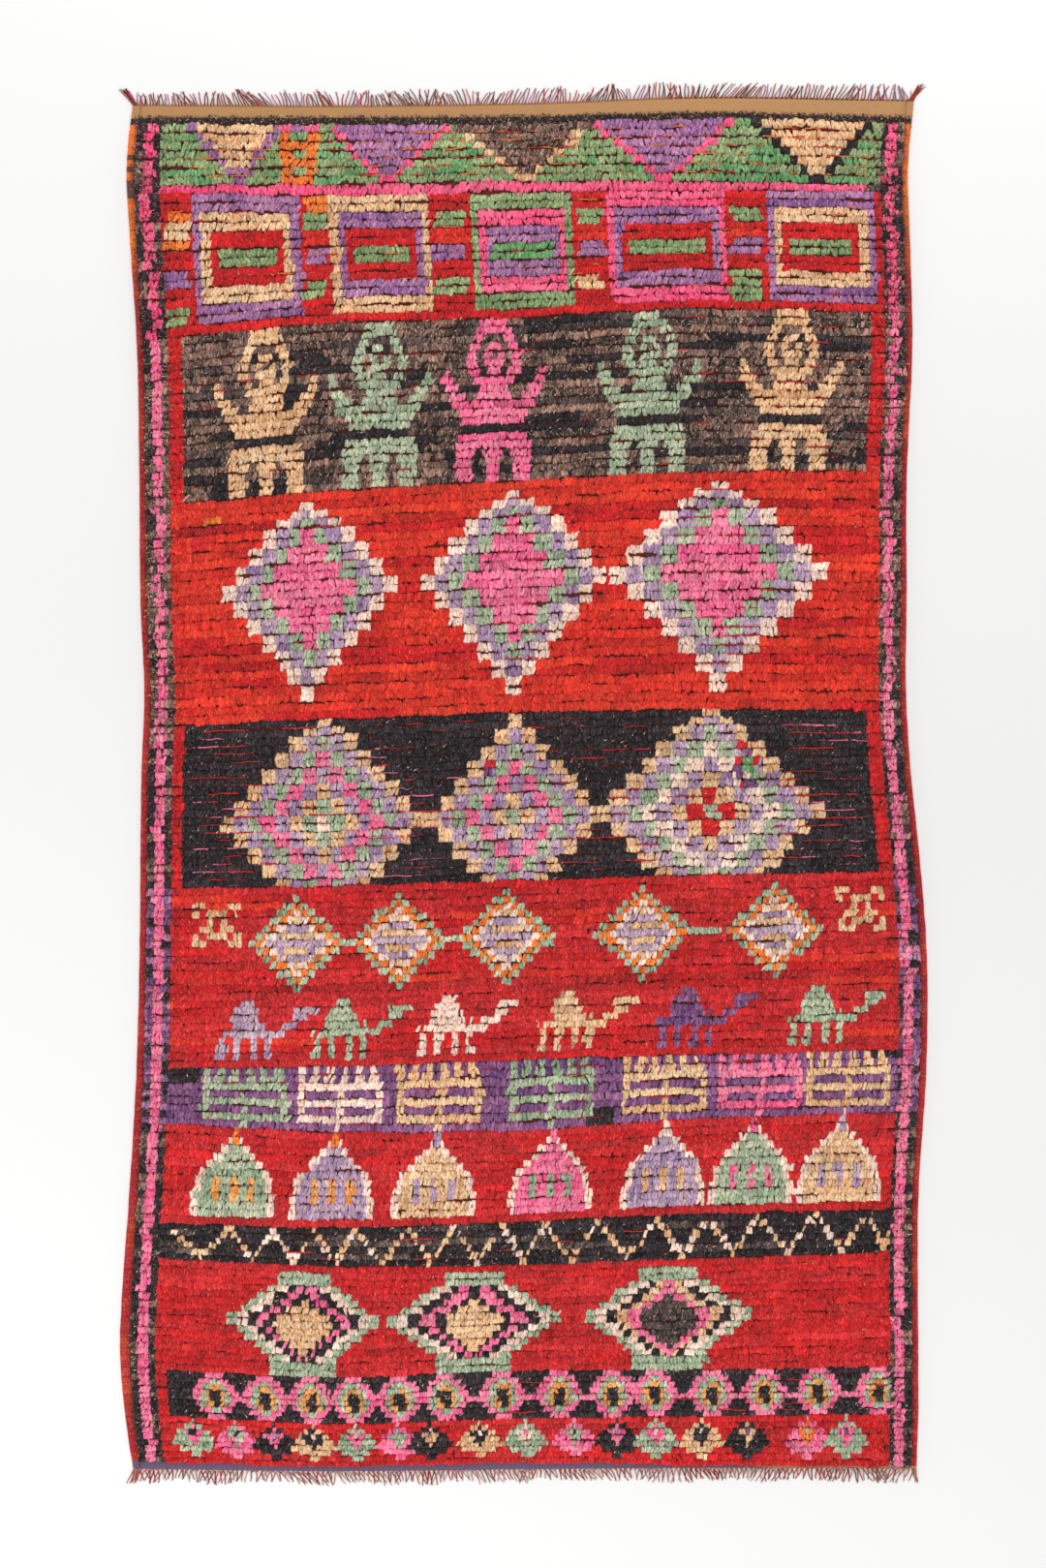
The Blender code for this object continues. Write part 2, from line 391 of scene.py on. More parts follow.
LARGE_LOZENGES = (
    # middle and width of a tile in mm
    (-442, 27.7),
    (-20, 29.4),
    (404, 34.3),
)
LARGE_STEPS = (1, 1, 1, 2, 2, 2, 2, 2, 2, 2, 2, 2, 2)
LARGE_RINGS = "eampppp"

TILED_LOZENGES = (
    # middle and width of a tile in mm, rows of each step, yarns from the rim to the heart
    (-412, 28.0, (1, 1, 2, 2, 2, 2, 2, 2, 2, 2, 2, 1), "tampatme"),
    (-16, 28.2, (2, 2, 2, 2, 2, 2, 2, 2, 2, 2, 1), "tampatm"),
    (388, 31.5, (1, 1, 2, 2, 2, 2, 2, 2, 2, 2, 2, 1), "tameatrm"),
)


def large_lozenges_band(chart):
    chart.band("large lozenges end")
    mottle(chart, -760, 790, "vvvrvvv", 12, 90)
    for middle, tile in LARGE_LOZENGES:
        lozenge(chart, 1, middle, LARGE_STEPS, tile, LARGE_RINGS)
    chart.bar(5, 1, -660, -640, ORANGE)


def tiled_lozenges_band(chart):
    chart.band("tiled lozenges end")
    chart.bar(0, chart.rows, -760, 800, RED)
    chart.bar(0, chart.rows, -704, 722, BLACK)
    for middle, tile, steps, rings in TILED_LOZENGES:
        lozenge(chart, 0, middle, steps, tile, rings)
    for middle in (-201, 159):
        chart.bar(12, 2, middle - 16, middle + 16, TAN)


# The band of small lozenges and camels

SMALL_LOZENGES = (-466, -256, -34, 248, 520)
SMALL_STEPS = (1,) * 13
SMALL_TILE = 16
SMALL_RINGS = "moeaaaa"
# Tan bars across the heart of each lozenge: (row, half the width in mm)
SMALL_BARS = ((4, 10), (6, 34), (8, 26), (10, 6))
# Green bars that join neighbouring lozenges at their side points, in mm
SMALL_LINKS = ((-376, -346), (-160, -130), (346, 414))

# A small hooked mark that fills each end of the row of lozenges
HOOKED_MARK = (
    "tttt......tttt",
    "tt..tttttt..tt",
    "....tt..tt....",
    "..tttt..tttt..",
    "tt..tttttt..tt",
    "tttt......tttt",
)
HOOKED_MARKS = (-630, 700)

CAMEL = (
    ".......####..................",
    ".....#######..........#######",
    "....#########.........####...",
    "....##########.#...####......",
    "#.##################.........",
    ".##..##...##..##.............",
    ".##..##...##..##.............",
    "###..##...##..##.............",
)
CAMELS = ((-532, MAUVE), (-338, MINT), (-116, CREAM), (132, TAN), (376, VIOLET), (644, MINT))


def camels_band(chart):
    chart.band("camels end")
    mottle(chart, -780, 820, "rccvcrcc", 8, 60)
    for middle in SMALL_LOZENGES:
        lozenge(chart, 1, middle, SMALL_STEPS, SMALL_TILE, SMALL_RINGS)
        for row, half in SMALL_BARS:
            chart.bar(row, 1, middle - half, middle + half, TAN)
    for start, end in SMALL_LINKS:
        chart.bar(7, 1, start, end, MINT)
    for middle in HOOKED_MARKS:
        chart.stamp(HOOKED_MARK, 2, middle)
    for middle, yarn in CAMELS:
        chart.stamp(CAMEL, 15, middle, {"#": yarn})


# The band of combs on stems, and the houses below that the stems reach

COMB = (
    "##..##..##..##..##..##..",
    "##.###.###..###.###.###.",
    "########################",
    "##.........##.........##",
    "########################",
    "##.........##.........##",
    "########################",
    "...........##...........",
)
COMBS = (
    (-574, MINT), (-378, CREAM), (-176, TAN), (58, MINT), (290, TAN), (486, PINK), (670, TAN),
)

HOUSE = (
    "...........TT...........",
    "..........eTTe..........",
    "........eeHHHHee........",
    "......eeHHHHHHHHee......",
    "....eeHHHHHHHHHHHHee....",
    "..eeHHHHHHHHHHHHHHHHee..",
    ".eeHHHWWHHHWWHHHWWHHHee.",
    ".eeHHHWWHHHWWHHHWWHHHee.",
    "eeHHHHWWHHHWWHHHWWHHHHee",
    "eeHHHHHHHHHHHHHHHHHHHHee",
    "eeHHHHHHHHHHHHHHHHHHHHee",
)
HOUSES = (
    # middle in mm, wall, windows, top
    (-600, MINT, AMBER, ORANGE), (-394, MAUVE, AMBER, ORANGE), (-182, TAN, MAUVE, MAUVE),
    (54, PINK, MINT, PINK), (286, MAUVE, TAN, CREAM), (474, MINT, PINK, PINK),
    (654, TAN, MAUVE, MAUVE),
)


def combs_band(chart):
    chart.band("combs end")
    chart.bar(0, chart.rows, -780, 810, VIOLET)
    chart.bar(0, 2, -748, -664, BLACK)
    chart.bar(6, 2, 130, 190, BLACK)
    chart.bar(0, 1, 700, 780, BLACK)
    for middle, yarn in COMBS:
        chart.stamp(COMB, 0, middle, {"#": yarn})


def houses_band(chart):
    chart.band("houses end")
    mottle(chart, -780, 810, "rccrcc", 10, 60)
    for middle, wall, windows, top in HOUSES:
        chart.stamp(HOUSE, 0, middle, {"H": wall, "W": windows, "T": top})


# The narrow dark band of zigzag

# The peaks of the zigzag from left to right, in mm from the middle line
ZIGZAG_PEAKS = (-604, -516, -432, -348, -236, -144, -44, 44, 154, 276, 382, 486, 604, 710)


def zigzag_band(chart):
    chart.band("zigzag ends")
    mottle(chart, -780, 800, "kkdkk", 5, 30)
    peaks = (ZIGZAG_PEAKS[0] - 126, *ZIGZAG_PEAKS, ZIGZAG_PEAKS[-1] + 70)
    for start, end in zip(peaks, peaks[1:]):
        steps = 2 * chart.rows - 2
        for step in range(steps):
            down = chart.rows - 1 - abs(step - chart.rows + 1)
            x = start + (end - start) * step / steps
            chart.bar(down, 1, x - 6, x + 6, rng.choice([TAN, CREAM, TAN]))


# The band of medallions, each with a mint and cream rim that a mint cap closes at the top and bottom

# Half the width of each row of a medallion, and of its heart, in knots
MEDALLION_HALF = (7, 7, 10, 13, 15, 17, 21, 21, 18, 16, 13, 11, 9, 9, 9)
MEDALLION_HEART = (0, 0, 0, 0, 2, 5, 8, 9, 8, 6, 4, 2, 0, 0, 0)
# The rows between the two caps
MEDALLION_OPEN = range(2, 13)
# The rim's yarns from outside, a letter a knot
MEDALLION_RIM = "mmmeee"
MEDALLIONS = (
    # middle in mm, stretch sideways, yarns from the rim to the heart, yarn of the heart
    (-458, 1.0, "kkpppkk", TAN), (-106, 1.15, "kkpppkk", TAN), (296, 1.1, "kkttppp", DUSK),
)


def medallion_yarn(row, half, across, heart_half, inside, heart):
    """The yarn of one knot, across knots from the medallion's middle."""
    depth = half - across
    if row not in MEDALLION_OPEN:
        return MINT
    if depth < len(MEDALLION_RIM):
        return MEDALLION_RIM[depth]
    if across < heart_half:
        return heart
    share = (depth - len(MEDALLION_RIM)) / (half - len(MEDALLION_RIM) - heart_half + 1)
    return inside[int(share * len(inside))]


def medallions_band(chart):
    chart.band("medallions end")
    mottle(chart, -780, 810, "rcccrcr", 8, 60)
    for middle, stretch, inside, heart in MEDALLIONS:
        centre = knot_at(middle, chart.first + chart.rows / 2)
        for row, (half, heart_half) in enumerate(zip(MEDALLION_HALF, MEDALLION_HEART)):
            half = int(round(half * stretch))
            for across in range(-half, half + 1):
                yarn = medallion_yarn(row, half, abs(across), heart_half, inside, heart)
                chart.span(row + 1, centre + across, 1, yarn)


# The last two bands: a chain of rosettes, and a row of small flowers

ROSETTE = (
    "....ppppp....",
    "..pppmmmppp..",
    ".ppmmnnnmmpp.",
    "pppmnkkknmppp",
    "ppmmnkkknmmpp",
    ".ppmnnkknmpp.",
    "..pppmmmppp..",
    "....ppppp....",
)
ROSETTES = (-638, -536, -442, -350, -256, -160, -46, 72, 178, 270, 384, 492, 608, 726)

FLOWER = (
    "......F......",
    "....FFXFF....",
    "..FFXXCXXFF..",
    ".FFFFXXXFFFF.",
    "FFFFFFXFFFFFF",
    "..FFFFFFFFF..",
    ".....FFF.....",
)
FLOWERS = (
    # middle in mm, petals, cross, centre
    (-680, MINT, PINK, BLACK), (-590, PINK, MINT, BLACK), (-510, BLACK, PINK, MAUVE),
    (-430, TAN, BLACK, CREAM), (-348, MINT, PINK, CREAM), (-262, PINK, MINT, MINT),
    (-190, BLACK, TAN, MAUVE), (-92, TAN, BLACK, CREAM), (4, MINT, CREAM, PINK),
    (102, PINK, MINT, BLACK), (190, BLACK, PINK, MAUVE), (274, MINT, PINK, CREAM),
    (368, TAN, BLACK, MINT), (456, BLACK, TAN, VIOLET), (582, PINK, ORANGE, MINT),
    (666, MINT, PINK, VIOLET),
)


def rosettes_band(chart):
    chart.band("rosettes end")
    chart.bar(0, chart.rows, -780, 810, RED)
    chart.bar(0, chart.rows, -744, 810, BLACK)
    for start, end in zip(ROSETTES, ROSETTES[1:]):
        chart.bar(4, 1, start + 40, end - 40, PINK)
    for middle in ROSETTES:
        chart.stamp(ROSETTE, 0, middle)


def flowers_band(chart):
    chart.band("pile bottom")
    mottle(chart, -790, 800, "rccrcr", 8, 50)
    for middle, petals, cross, centre in FLOWERS:
        chart.stamp(FLOWER, 0, middle, {"F": petals, "X": cross, "C": centre})


# The columns of dark, pink and dark knots beside the bindings

# How many knots each takes, from the binding inwards
LEFT_COLUMNS = (2, 3, 2)
RIGHT_COLUMNS = (2, 3, 1)

# The red strips between these columns and the dark bands: knots at the left, knots at the right
RED_STRIPS = {"figures end": (4, 4), "tiled lozenges end": (3, 4), "rosettes end": (3, 0)}

# The bands whose pink column is of the deeper rose
ROSE_BANDS = ("triangles end", "pink line ends", "squares end")

# The yarns of the dark columns down the rug: (last band, yarns)
FLANK_YARNS = (
    ("squares end", "khk"),
    ("figures end", "hhk"),
    ("large lozenges end", "khh"),
    ("tiled lozenges end", "kkh"),
    ("combs end", "uulk"),
    ("pile bottom", "kkh"),
)


# The share of the rows whose outer dark column is a knot narrower, and of those where it is a knot
# wider: more in the upper bands, whose pile is open
UPPER_SHIFT_SHARE = 0.2
LOWER_SHIFT_SHARE = 0.06


def side_columns(chart):
    """The dark, pink and dark columns and the red strips, ragged by a knot here and there."""
    for name, (yarns,) in by_band(FLANK_YARNS).items():
        chart.band(name)
        strips = RED_STRIPS.get(name, (0, 0))
        upper = chart.first < BANDS["tiled lozenges end"][2]
        shift_share = UPPER_SHIFT_SHARE if upper else LOWER_SHIFT_SHARE
        for row in range(chart.rows):
            for side, columns in ((LEFT, LEFT_COLUMNS), (RIGHT, RIGHT_COLUMNS)):
                outer, pink, inner = columns
                outer += rng.choice((-1, 0, 1), p=(shift_share, 1 - 2 * shift_share, shift_share))
                inner = sum(columns) - outer - pink
                middle_yarn = ROSE if name in ROSE_BANDS else PINK
                start = 0
                for count, letter in (
                    (outer, rng.choice(list(yarns))), (pink, middle_yarn),
                    (inner, rng.choice(list(yarns))), (strips[side == RIGHT], RED),
                ):
                    at = start if side == LEFT else KNOTS - start - count
                    chart.span(row, at, count, letter)
                    start += count


# Mends in another yarn: (above the middle, right of the middle, rows, knots, yarn)
MENDS = (
    (540, -650, 1, 4, ORANGE), (525, -684, 3, 5, CRIMSON), (76, 446, 1, 3, CRIMSON),
    (70, 462, 1, 2, VIOLET), (52, 456, 2, 4, GREEN), (54, 438, 2, 2, CRIMSON), (54, 476, 1, 2, RED),
    (30, 440, 2, 2, VIOLET), (10, 446, 1, 3, CRIMSON), (0, 462, 1, 3, VIOLET),
    (34, -78, 1, 3, CRIMSON), (22, -80, 1, 2, VIOLET),
)


def mends(chart):
    for height, x, rows, count, yarn in MENDS:
        row = min(range(ROWS), key=lambda r: abs(row_middle(r, x * MM) - height * MM))
        start = knot_at(x, row + 0.5)
        chart.knots[row : row + rows, start : start + count] = yarn


# The share of the knots beside a change of yarn that take their neighbour's yarn
RAGGED_SHARE = 0.035


def ragged(knots):
    """Hand knotting: where two yarns meet, the odd knot is tied in the other one."""
    for aside in (1, -1):
        neighbour = np.roll(knots, aside, axis=1)
        swap = (neighbour != knots) & (rng.random(knots.shape) < RAGGED_SHARE)
        swap[:, [0, -1]] = False
        knots = np.where(swap, neighbour, knots)
    return knots


def pattern():
    """The letter of every knot, from the top row down."""
    chart = Chart()
    triangles_band(chart)
    squares_band(chart)
    figures_band(chart)
    large_lozenges_band(chart)
    tiled_lozenges_band(chart)
    camels_band(chart)
    combs_band(chart)
    houses_band(chart)
    zigzag_band(chart)
    medallions_band(chart)
    rosettes_band(chart)
    flowers_band(chart)
    mends(chart)
    chart.knots = ragged(chart.knots)
    side_columns(chart)
    return chart.knots


# Finish of the yarns: each letter's name, and the colours of its two dye lots as sRGB hex
YARNS = {
    "r": ("red", "#BA0C14", "#DE2024"),
    "c": ("crimson", "#B80F18", "#DC2E32"),
    "v": ("vermilion", "#CA1A18", "#EC3E28"),
    "p": ("pink", "#F0568C", "#FC92AC"),
    "f": ("rose", "#F54479", "#FF7597"),
    "l": ("lilac", "#86528E", "#C68AAE"),
    "a": ("mauve", "#9A76A2", "#D2B4C0"),
    "u": ("violet", "#643A70", "#A46892"),
    "s": ("sage", "#72925E", "#A8B480"),
    "m": ("mint", "#8CA282", "#CACCAE"),
    "g": ("green", "#4E8E50", "#86B47A"),
    "t": ("tan", "#DEA675", "#F6D1A7"),
    "e": ("cream", "#F5CCB6", "#FFE5D5"),
    "o": ("orange", "#E8641C", "#F88E38"),
    "n": ("amber", "#E08A3C", "#F6B468"),
    "k": ("black", "#0C0809", "#3A2E32"),
    "h": ("heather", "#2A1C1A", "#A27A6A"),
    "d": ("dusk", "#2A2224", "#68544F"),
}


# Geometry

# Heights above the floor
FOUNDATION_TOP = 3.6 * MM
PILE_TOP = 14.6 * MM
TUFT_ROOT = 4.4 * MM
END_WEAVE_TOP = 4.6 * MM

# The gap that the CAD model leaves between two pieces
PIECE_GAP = 0.3 * MM


def centre_shift():
    """How far the CAD model moved the rug's layout when it centred it on the origin."""
    y = np.linspace(-1.4, 1.4, 400)
    x = np.linspace(-0.8, 0.8, 400)
    local_left = edge_x(y, LEFT).min()
    local_top = line_y("cloth top", x).max()
    cloth_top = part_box("rug_cloth")[1][1]
    rug_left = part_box("binding_left")[0][0]
    return np.array([rug_left - local_left, cloth_top - local_top, 0])


CENTRE = centre_shift()


def add_mesh(name, points, faces, slots=None, materials=(), smooth=True, **looks):
    """A mesh object from arrays: points in metres from the middle of the cloth, and faces that all
    have the same number of corners. looks holds a value a point for the materials to read."""
    points = np.asarray(points, float) + CENTRE
    faces = np.asarray(faces, np.int32)
    mesh = bpy.data.meshes.new(name)
    mesh.vertices.add(len(points))
    mesh.vertices.foreach_set("co", points.astype(np.float32).ravel())
    mesh.loops.add(faces.size)
    mesh.loops.foreach_set("vertex_index", faces.ravel())
    mesh.polygons.add(len(faces))
    corners = faces.shape[1]
    mesh.polygons.foreach_set("loop_start", np.arange(len(faces), dtype=np.int32) * corners)
    for material in materials:
        mesh.materials.append(material)
    if slots is not None:
        mesh.polygons.foreach_set("material_index", np.asarray(slots, np.int32))
    mesh.update(calc_edges=True)
    mesh.validate()
    if smooth:
        mesh.shade_smooth()
    # Pieces that pass no lit show their own colour everywhere, with no painted shade
    looks.setdefault("lit", np.ones(len(points)))
    for key, values in looks.items():
        attribute = mesh.attributes.new(key, "FLOAT", "POINT")
        attribute.data.foreach_set("value", np.asarray(values, np.float32))
    lay_flat(mesh, points)
    piece = bpy.data.objects.new(name, mesh)
    bpy.context.collection.objects.link(piece)
    return piece


def lay_flat(mesh, points):
    """A texture map seen from straight above, so that each knot keeps its own place in it."""
    low = points.min(axis=0)[:2]
    size = points.max(axis=0)[:2] - low
    flat = (points[:, :2] - low) / size
    layer = mesh.uv_layers.new(name="OFBake")
    corners = np.empty(len(mesh.loops), np.int32)
    mesh.loops.foreach_get("vertex_index", corners)
    layer.data.foreach_set("uv", flat[corners].astype(np.float32).ravel())


def soft_noise(rows, count, reach):
    """Rows of random numbers from about -1 to 1 that change slowly along a row, over reach steps."""
    raw = rng.normal(size=(rows, count + 4 * reach))
    window = np.hanning(2 * reach + 3)[1:-1]
    smooth = np.apply_along_axis(lambda row: np.convolve(row, window, "same"), 1, raw)
    smooth = smooth[:, 2 * reach : 2 * reach + count]
    return smooth / (np.sqrt((window**2).sum()) * 1.6)


# A tuft as two rings and a tip. Its outline has flat ends, as a row's tufts press together, given
# as shares of half its width and half its length.
TUFT_OUTLINE = np.array((
    (1.0, 0.0), (0.86, 0.93), (-0.8, 1.0), (-1.0, 0.0), (-0.86, -0.93), (0.8, -1.0),
))
RING = len(TUFT_OUTLINE)
# Each ring: (share of the outline's width, of its length, and of the tuft's height)
TUFT_RINGS = ((1.04, 1.04, 0.3), (0.92, 0.84, 0.84))
# How much of its own colour a tuft shows at its upper ring, the rest being painted shade. At its lower
# ring the caller says so, as the dark foundation's colour and painted shadow between the rows show at
# its foot, and its two sides, which press against their neighbours in the row, show this much more.
UPPER_RING_LIT = 0.92
SIDE_LIT = 0.55


def tufts(
    name, x, y, width, length, height, root, slant, twist, nod, slots, materials, tone, dye, foot
):
    """Plump tufts of yarn, one for each value in the arrays. slant leans a tuft's line across the
    row, twist leans its upper ring further, and nod moves its tip towards the lower end."""
    x, y, width, length, height, root, slant, twist, nod = map(
        np.ravel, (x, y, width, length, height, root, slant, twist, nod)
    )
    count = len(x)
    across, along = TUFT_OUTLINE.T
    levels = []
    for wide, long, rise in TUFT_RINGS:
        u = across[None, :] * (width[:, None] / 2) * wide
        v = along[None, :] * (length[:, None] / 2) * long
        u = u + (slant + twist * rise)[:, None] * v
        v = v - nod[:, None] * length[:, None] * rise
        z = np.broadcast_to((root + (height - root) * rise)[:, None], u.shape)
        levels.append(np.stack([x[:, None] + u, y[:, None] + v, z], axis=2))
    tip = np.stack([x + 0.12 * twist * width, y - nod * length, height], axis=1)[:, None, :]
    points = np.concatenate([*levels, tip], axis=1)
    each = points.shape[1]
    faces = []
    for k in range(RING):
        after = (k + 1) % RING
        faces += [(k, after, RING + after), (k, RING + after, RING + k)]
        faces.append((RING + k, RING + after, 2 * RING))
    faces = np.asarray(faces)[None, :, :] + (np.arange(count) * each)[:, None, None]
    face_slots = np.repeat(slots, faces.shape[1])
    # Painted shade: lit is how much of the yarn's own colour a point shows, and the rest is the
    # material's dark root colour, which stands in for the shadow in the crevices at the tuft's foot and
    # on its slopes
    lit = np.ones((count, each))
    lit[:, :RING] = np.ravel(foot)[:, None]
    lit[:, [0, 3]] += SIDE_LIT
    lit[:, RING : 2 * RING] = UPPER_RING_LIT
    return add_mesh(
        name, points.reshape(-1, 3), faces.reshape(-1, 3), face_slots, materials,
        tone=np.repeat(tone, each), dye=np.repeat(dye, each), lit=lit.ravel(),
    )


def row_line(row):
    """The places of a row's knots, and how far apart they are."""
    left, right = meets(lambda x: row_middle(row, x), binding_inner_x)
    left += PIECE_GAP
    right -= PIECE_GAP
    x = left + (np.arange(KNOTS) + 0.5) / KNOTS * (right - left)
    return x, row_middle(row, x), (right - left) / KNOTS


# How long each band's tufts are as a share of their row, how far they slant, how high they stand
# and how much of their own colour their feet show through the painted shade between the rows, from
# the top band down: the upper bands are worn open, the lower ones fine and dense
BAND_LOOKS = {
    # name: (length, slant, height, foot)
    "triangles end": (1.0, 0.55, 1.0, 0.0),
    "pink line ends": (1.05, 0.55, 1.0, 0.1),
    "squares end": (1.0, 0.45, 1.0, 0.0),
    "figures end": (1.02, 0.5, 1.0, 0.0),
    "large lozenges end": (1.03, 0.35, 1.0, 0.1),
    "tiled lozenges end": (1.03, 0.35, 1.0, 0.1),
    "camels end": (1.08, 0.4, 0.98, 0.18),
    "combs end": (1.06, 0.4, 0.97, 0.1),
    "houses end": (1.1, 0.4, 0.96, 0.22),
    "zigzag ends": (1.06, 0.45, 0.95, 0.2),
    "medallions end": (1.1, 0.4, 0.94, 0.25),
    "rosettes end": (1.1, 0.45, 0.93, 0.2),
    "pile bottom": (1.1, 0.45, 0.93, 0.2),
}

# The yarns whose tufts have felted together, and how much longer and wider they are as shares of
# their place, how much less painted shade their feet take, and how much more their shade clouds
FELTED = (RED, CRIMSON, VERMILION)
FELTED_LENGTH = 0.1
FELTED_WIDTH = 0.2
FELTED_FOOT_LIT = 0.04
FELTED_CLOUDS = 0.1

# How much the shade of single knots differs, for the yarns where it is most
SHADE_SPREAD = {HEATHER: 0.42, DUSK: 0.3, BLACK: 0.3, VIOLET: 0.16}
PLAIN_SPREAD = 0.1


def dye_lots():
    """Where each knot lies between its yarn's two dye lots: slow clouds, and a step where the weaver
    took the next lot."""
    clouds = soft_noise(ROWS, KNOTS, 30) + soft_noise(KNOTS, ROWS, 3).T
    fine = soft_noise(ROWS, KNOTS, 9)
    steps = rng.normal(0, 1, (ROWS, 1))
    single = rng.normal(0, 1, (ROWS, KNOTS))
    return np.clip(0.5 + 0.2 * clouds + 0.14 * fine + 0.08 * steps + 0.12 * single, 0, 1)


def add_pile_band(name, knots, dye, yarns):
    """One band of the pile as one piece, with a tuft for every knot."""
    long, slant_size, height_share, foot = BAND_LOOKS[name]
    above, last, first, rows = BANDS[name]
    band = knots[first : first + rows]
    letters = sorted(set(band.ravel()))
    lines = [row_line(first + row) for row in range(rows)]
    x = np.array([line[0] for line in lines])
    y = np.array([line[1] for line in lines])
    pitch = np.broadcast_to(np.array([line[2] for line in lines])[:, None], x.shape)
    depth = (line_y(above, x) - line_y(last, x)) / rows
    shape = x.shape
    wave = soft_noise(rows, KNOTS, 5)
    y = y + depth * (0.14 * wave + rng.normal(0, 0.06, shape))
    x = x + pitch * rng.normal(0, 0.12, shape)
    felted = np.isin(band, FELTED)
    long = long + FELTED_LENGTH * felted
    # Painted shade at the tufts' feet: felted yarns take a little less of it
    foot = foot + FELTED_FOOT_LIT * felted + rng.uniform(0, 0.12, shape)
    length = depth * (long + 0.08 * soft_noise(rows, KNOTS, 4) + rng.normal(0, 0.08, shape))
    width = pitch * (rng.uniform(1.02, 1.38, shape) + FELTED_WIDTH * felted)
    height = PILE_TOP * height_share * (1 + 0.05 * soft_noise(rows, KNOTS, 6))
    height = height + rng.normal(0, 0.9 * MM, shape)
    root = np.full(shape, TUFT_ROOT)
    slant = slant_size * (0.3 + 0.45 * soft_noise(rows, KNOTS, 7) + rng.normal(0, 0.35, shape))
    twist = rng.normal(0, 0.6, shape) * slant_size
    nod = rng.normal(0.05, 0.04, shape)
    spread = np.vectorize(lambda letter: SHADE_SPREAD.get(letter, PLAIN_SPREAD))(band)
    tone = 1 + 0.09 * soft_noise(rows, KNOTS, 5) + rng.normal(0, 1, shape) * spread
    tone = tone + rng.normal(0, 0.05, (rows, 1))
    tone = tone + FELTED_CLOUDS * felted * soft_noise(rows, KNOTS, 14)
    return tufts(
        "pile_" + name.replace(" ", "_"), x, y, width, length, height, root, slant, twist, nod,
        np.searchsorted(letters, band), [yarns[letter] for letter in letters],
        tone, dye[first : first + rows], foot,
    )


def grid_faces(lines, points_each):
    """Quads between neighbouring lines of points, laid out line after line."""
    i, j = np.meshgrid(np.arange(lines - 1), np.arange(points_each - 1), indexing="ij")
    a = (i * points_each + j).ravel()
    return np.stack([a, a + points_each, a + points_each + 1, a + 1], axis=1)


# The foundation: its columns across, the weft ribs of its flat-woven ends, and how deep they are
FOUNDATION_COLUMNS = 120
GOLD_RIBS = 8
DARK_RIBS = 4
BOTTOM_RIBS = 3
RIB_RELIEF = 0.9 * MM


def foundation_lines():
    """Each line of the foundation: (upper line, lower line, share, height, slot of the strip below)."""
    lines = []
    for upper, lower, ribs, slot in (
        ("cloth top", "gold band ends", GOLD_RIBS, 0),
        ("gold band ends", "pile top", DARK_RIBS, 1),
    ):
        for step in range(2 * ribs):
            height = END_WEAVE_TOP - RIB_RELIEF * (step % 2 == 0)
            lines.append((upper, lower, step / (2 * ribs), height, slot))
    for above, last, _, rows in BANDS.values():
        for row in range(0, rows, 4):
            lines.append((above, last, row / rows, FOUNDATION_TOP, 2))
    for step in range(2 * BOTTOM_RIBS):
        height = END_WEAVE_TOP - RIB_RELIEF * (step % 2 == 0)
        lines.append(("pile bottom", "cloth bottom", step / (2 * BOTTOM_RIBS), height, 3))
    lines.append(("pile bottom", "cloth bottom", 1.0, FOUNDATION_TOP, 3))
    return lines


# The bottom band's last part, where most of its lilac weft gives way to gold
GOLD_PART_FROM = 480 * MM
GOLD_PART_SHARE = 0.8


def points_x(lines):
    """The x of the first corner of each quad that grid_faces makes of these lines of points."""
    return np.concatenate([line[:-1, 0] for line in lines[:-1]])


def add_foundation(materials):
    """The woven ground under the knots, with the flat weaves that close its ends. Its materials are
    the gold weft, the dark weft, the warp and the lilac weft."""
    lines = foundation_lines()
    tops, bottoms, slots = [], [], []
    for upper, lower, share, height, slot in lines:
        left, right = meets(lambda x: between(upper, lower, share, x), binding_inner_x)
        x = np.linspace(left + PIECE_GAP, right - PIECE_GAP, FOUNDATION_COLUMNS + 1)
        y = between(upper, lower, share, x)
        z = np.full(x.shape, height)
        if slot != 2:
            z = z + rng.normal(0, 0.12 * MM, x.shape)
            z[1::2] -= 0.25 * MM
        tops.append(np.stack([x, y, z], axis=1))
        bottoms.append(np.stack([x, y, np.zeros(x.shape)], axis=1))
        slots.append(slot)
    each = FOUNDATION_COLUMNS + 1
    count = len(lines)
    top = grid_faces(count, each)
    bottom = grid_faces(count, each)[:, ::-1] + count * each
    face_slots = np.repeat(slots[:-1], FOUNDATION_COLUMNS)
    under = count * each
    row = np.arange(count - 1) * each
    left_side = np.stack([row, row + under, row + each + under, row + each], axis=1)
    end = row + each - 1
    right_side = np.stack([end, end + each, end + each + under, end + under], axis=1)
    column = np.arange(FOUNDATION_COLUMNS)
    first = np.stack([column, column + 1, column + 1 + under, column + under], axis=1)
    final = column + (count - 1) * each
    last = np.stack([final, final + under, final + 1 + under, final + 1], axis=1)
    faces = np.concatenate([top, bottom, left_side, right_side, first, last])
    corner = points_x(tops)
    gold_part = (
        (face_slots == 3) & (corner > GOLD_PART_FROM) & (rng.random(len(corner)) < GOLD_PART_SHARE)
    )
    face_slots = np.where(gold_part, 0, face_slots)
    all_slots = np.concatenate([
        face_slots, np.full(len(face_slots), 2), slots[:-1], slots[:-1],
        np.full(len(first), 0), np.full(len(last), 3),
    ])
    points = np.concatenate([*tops, *bottoms])
    tone = 1 + rng.normal(0, 0.06, len(points))
    dye = rng.uniform(0.2, 0.8, len(points))
    return add_mesh("foundation", points, faces, all_slots, materials, tone=tone, dye=dye)


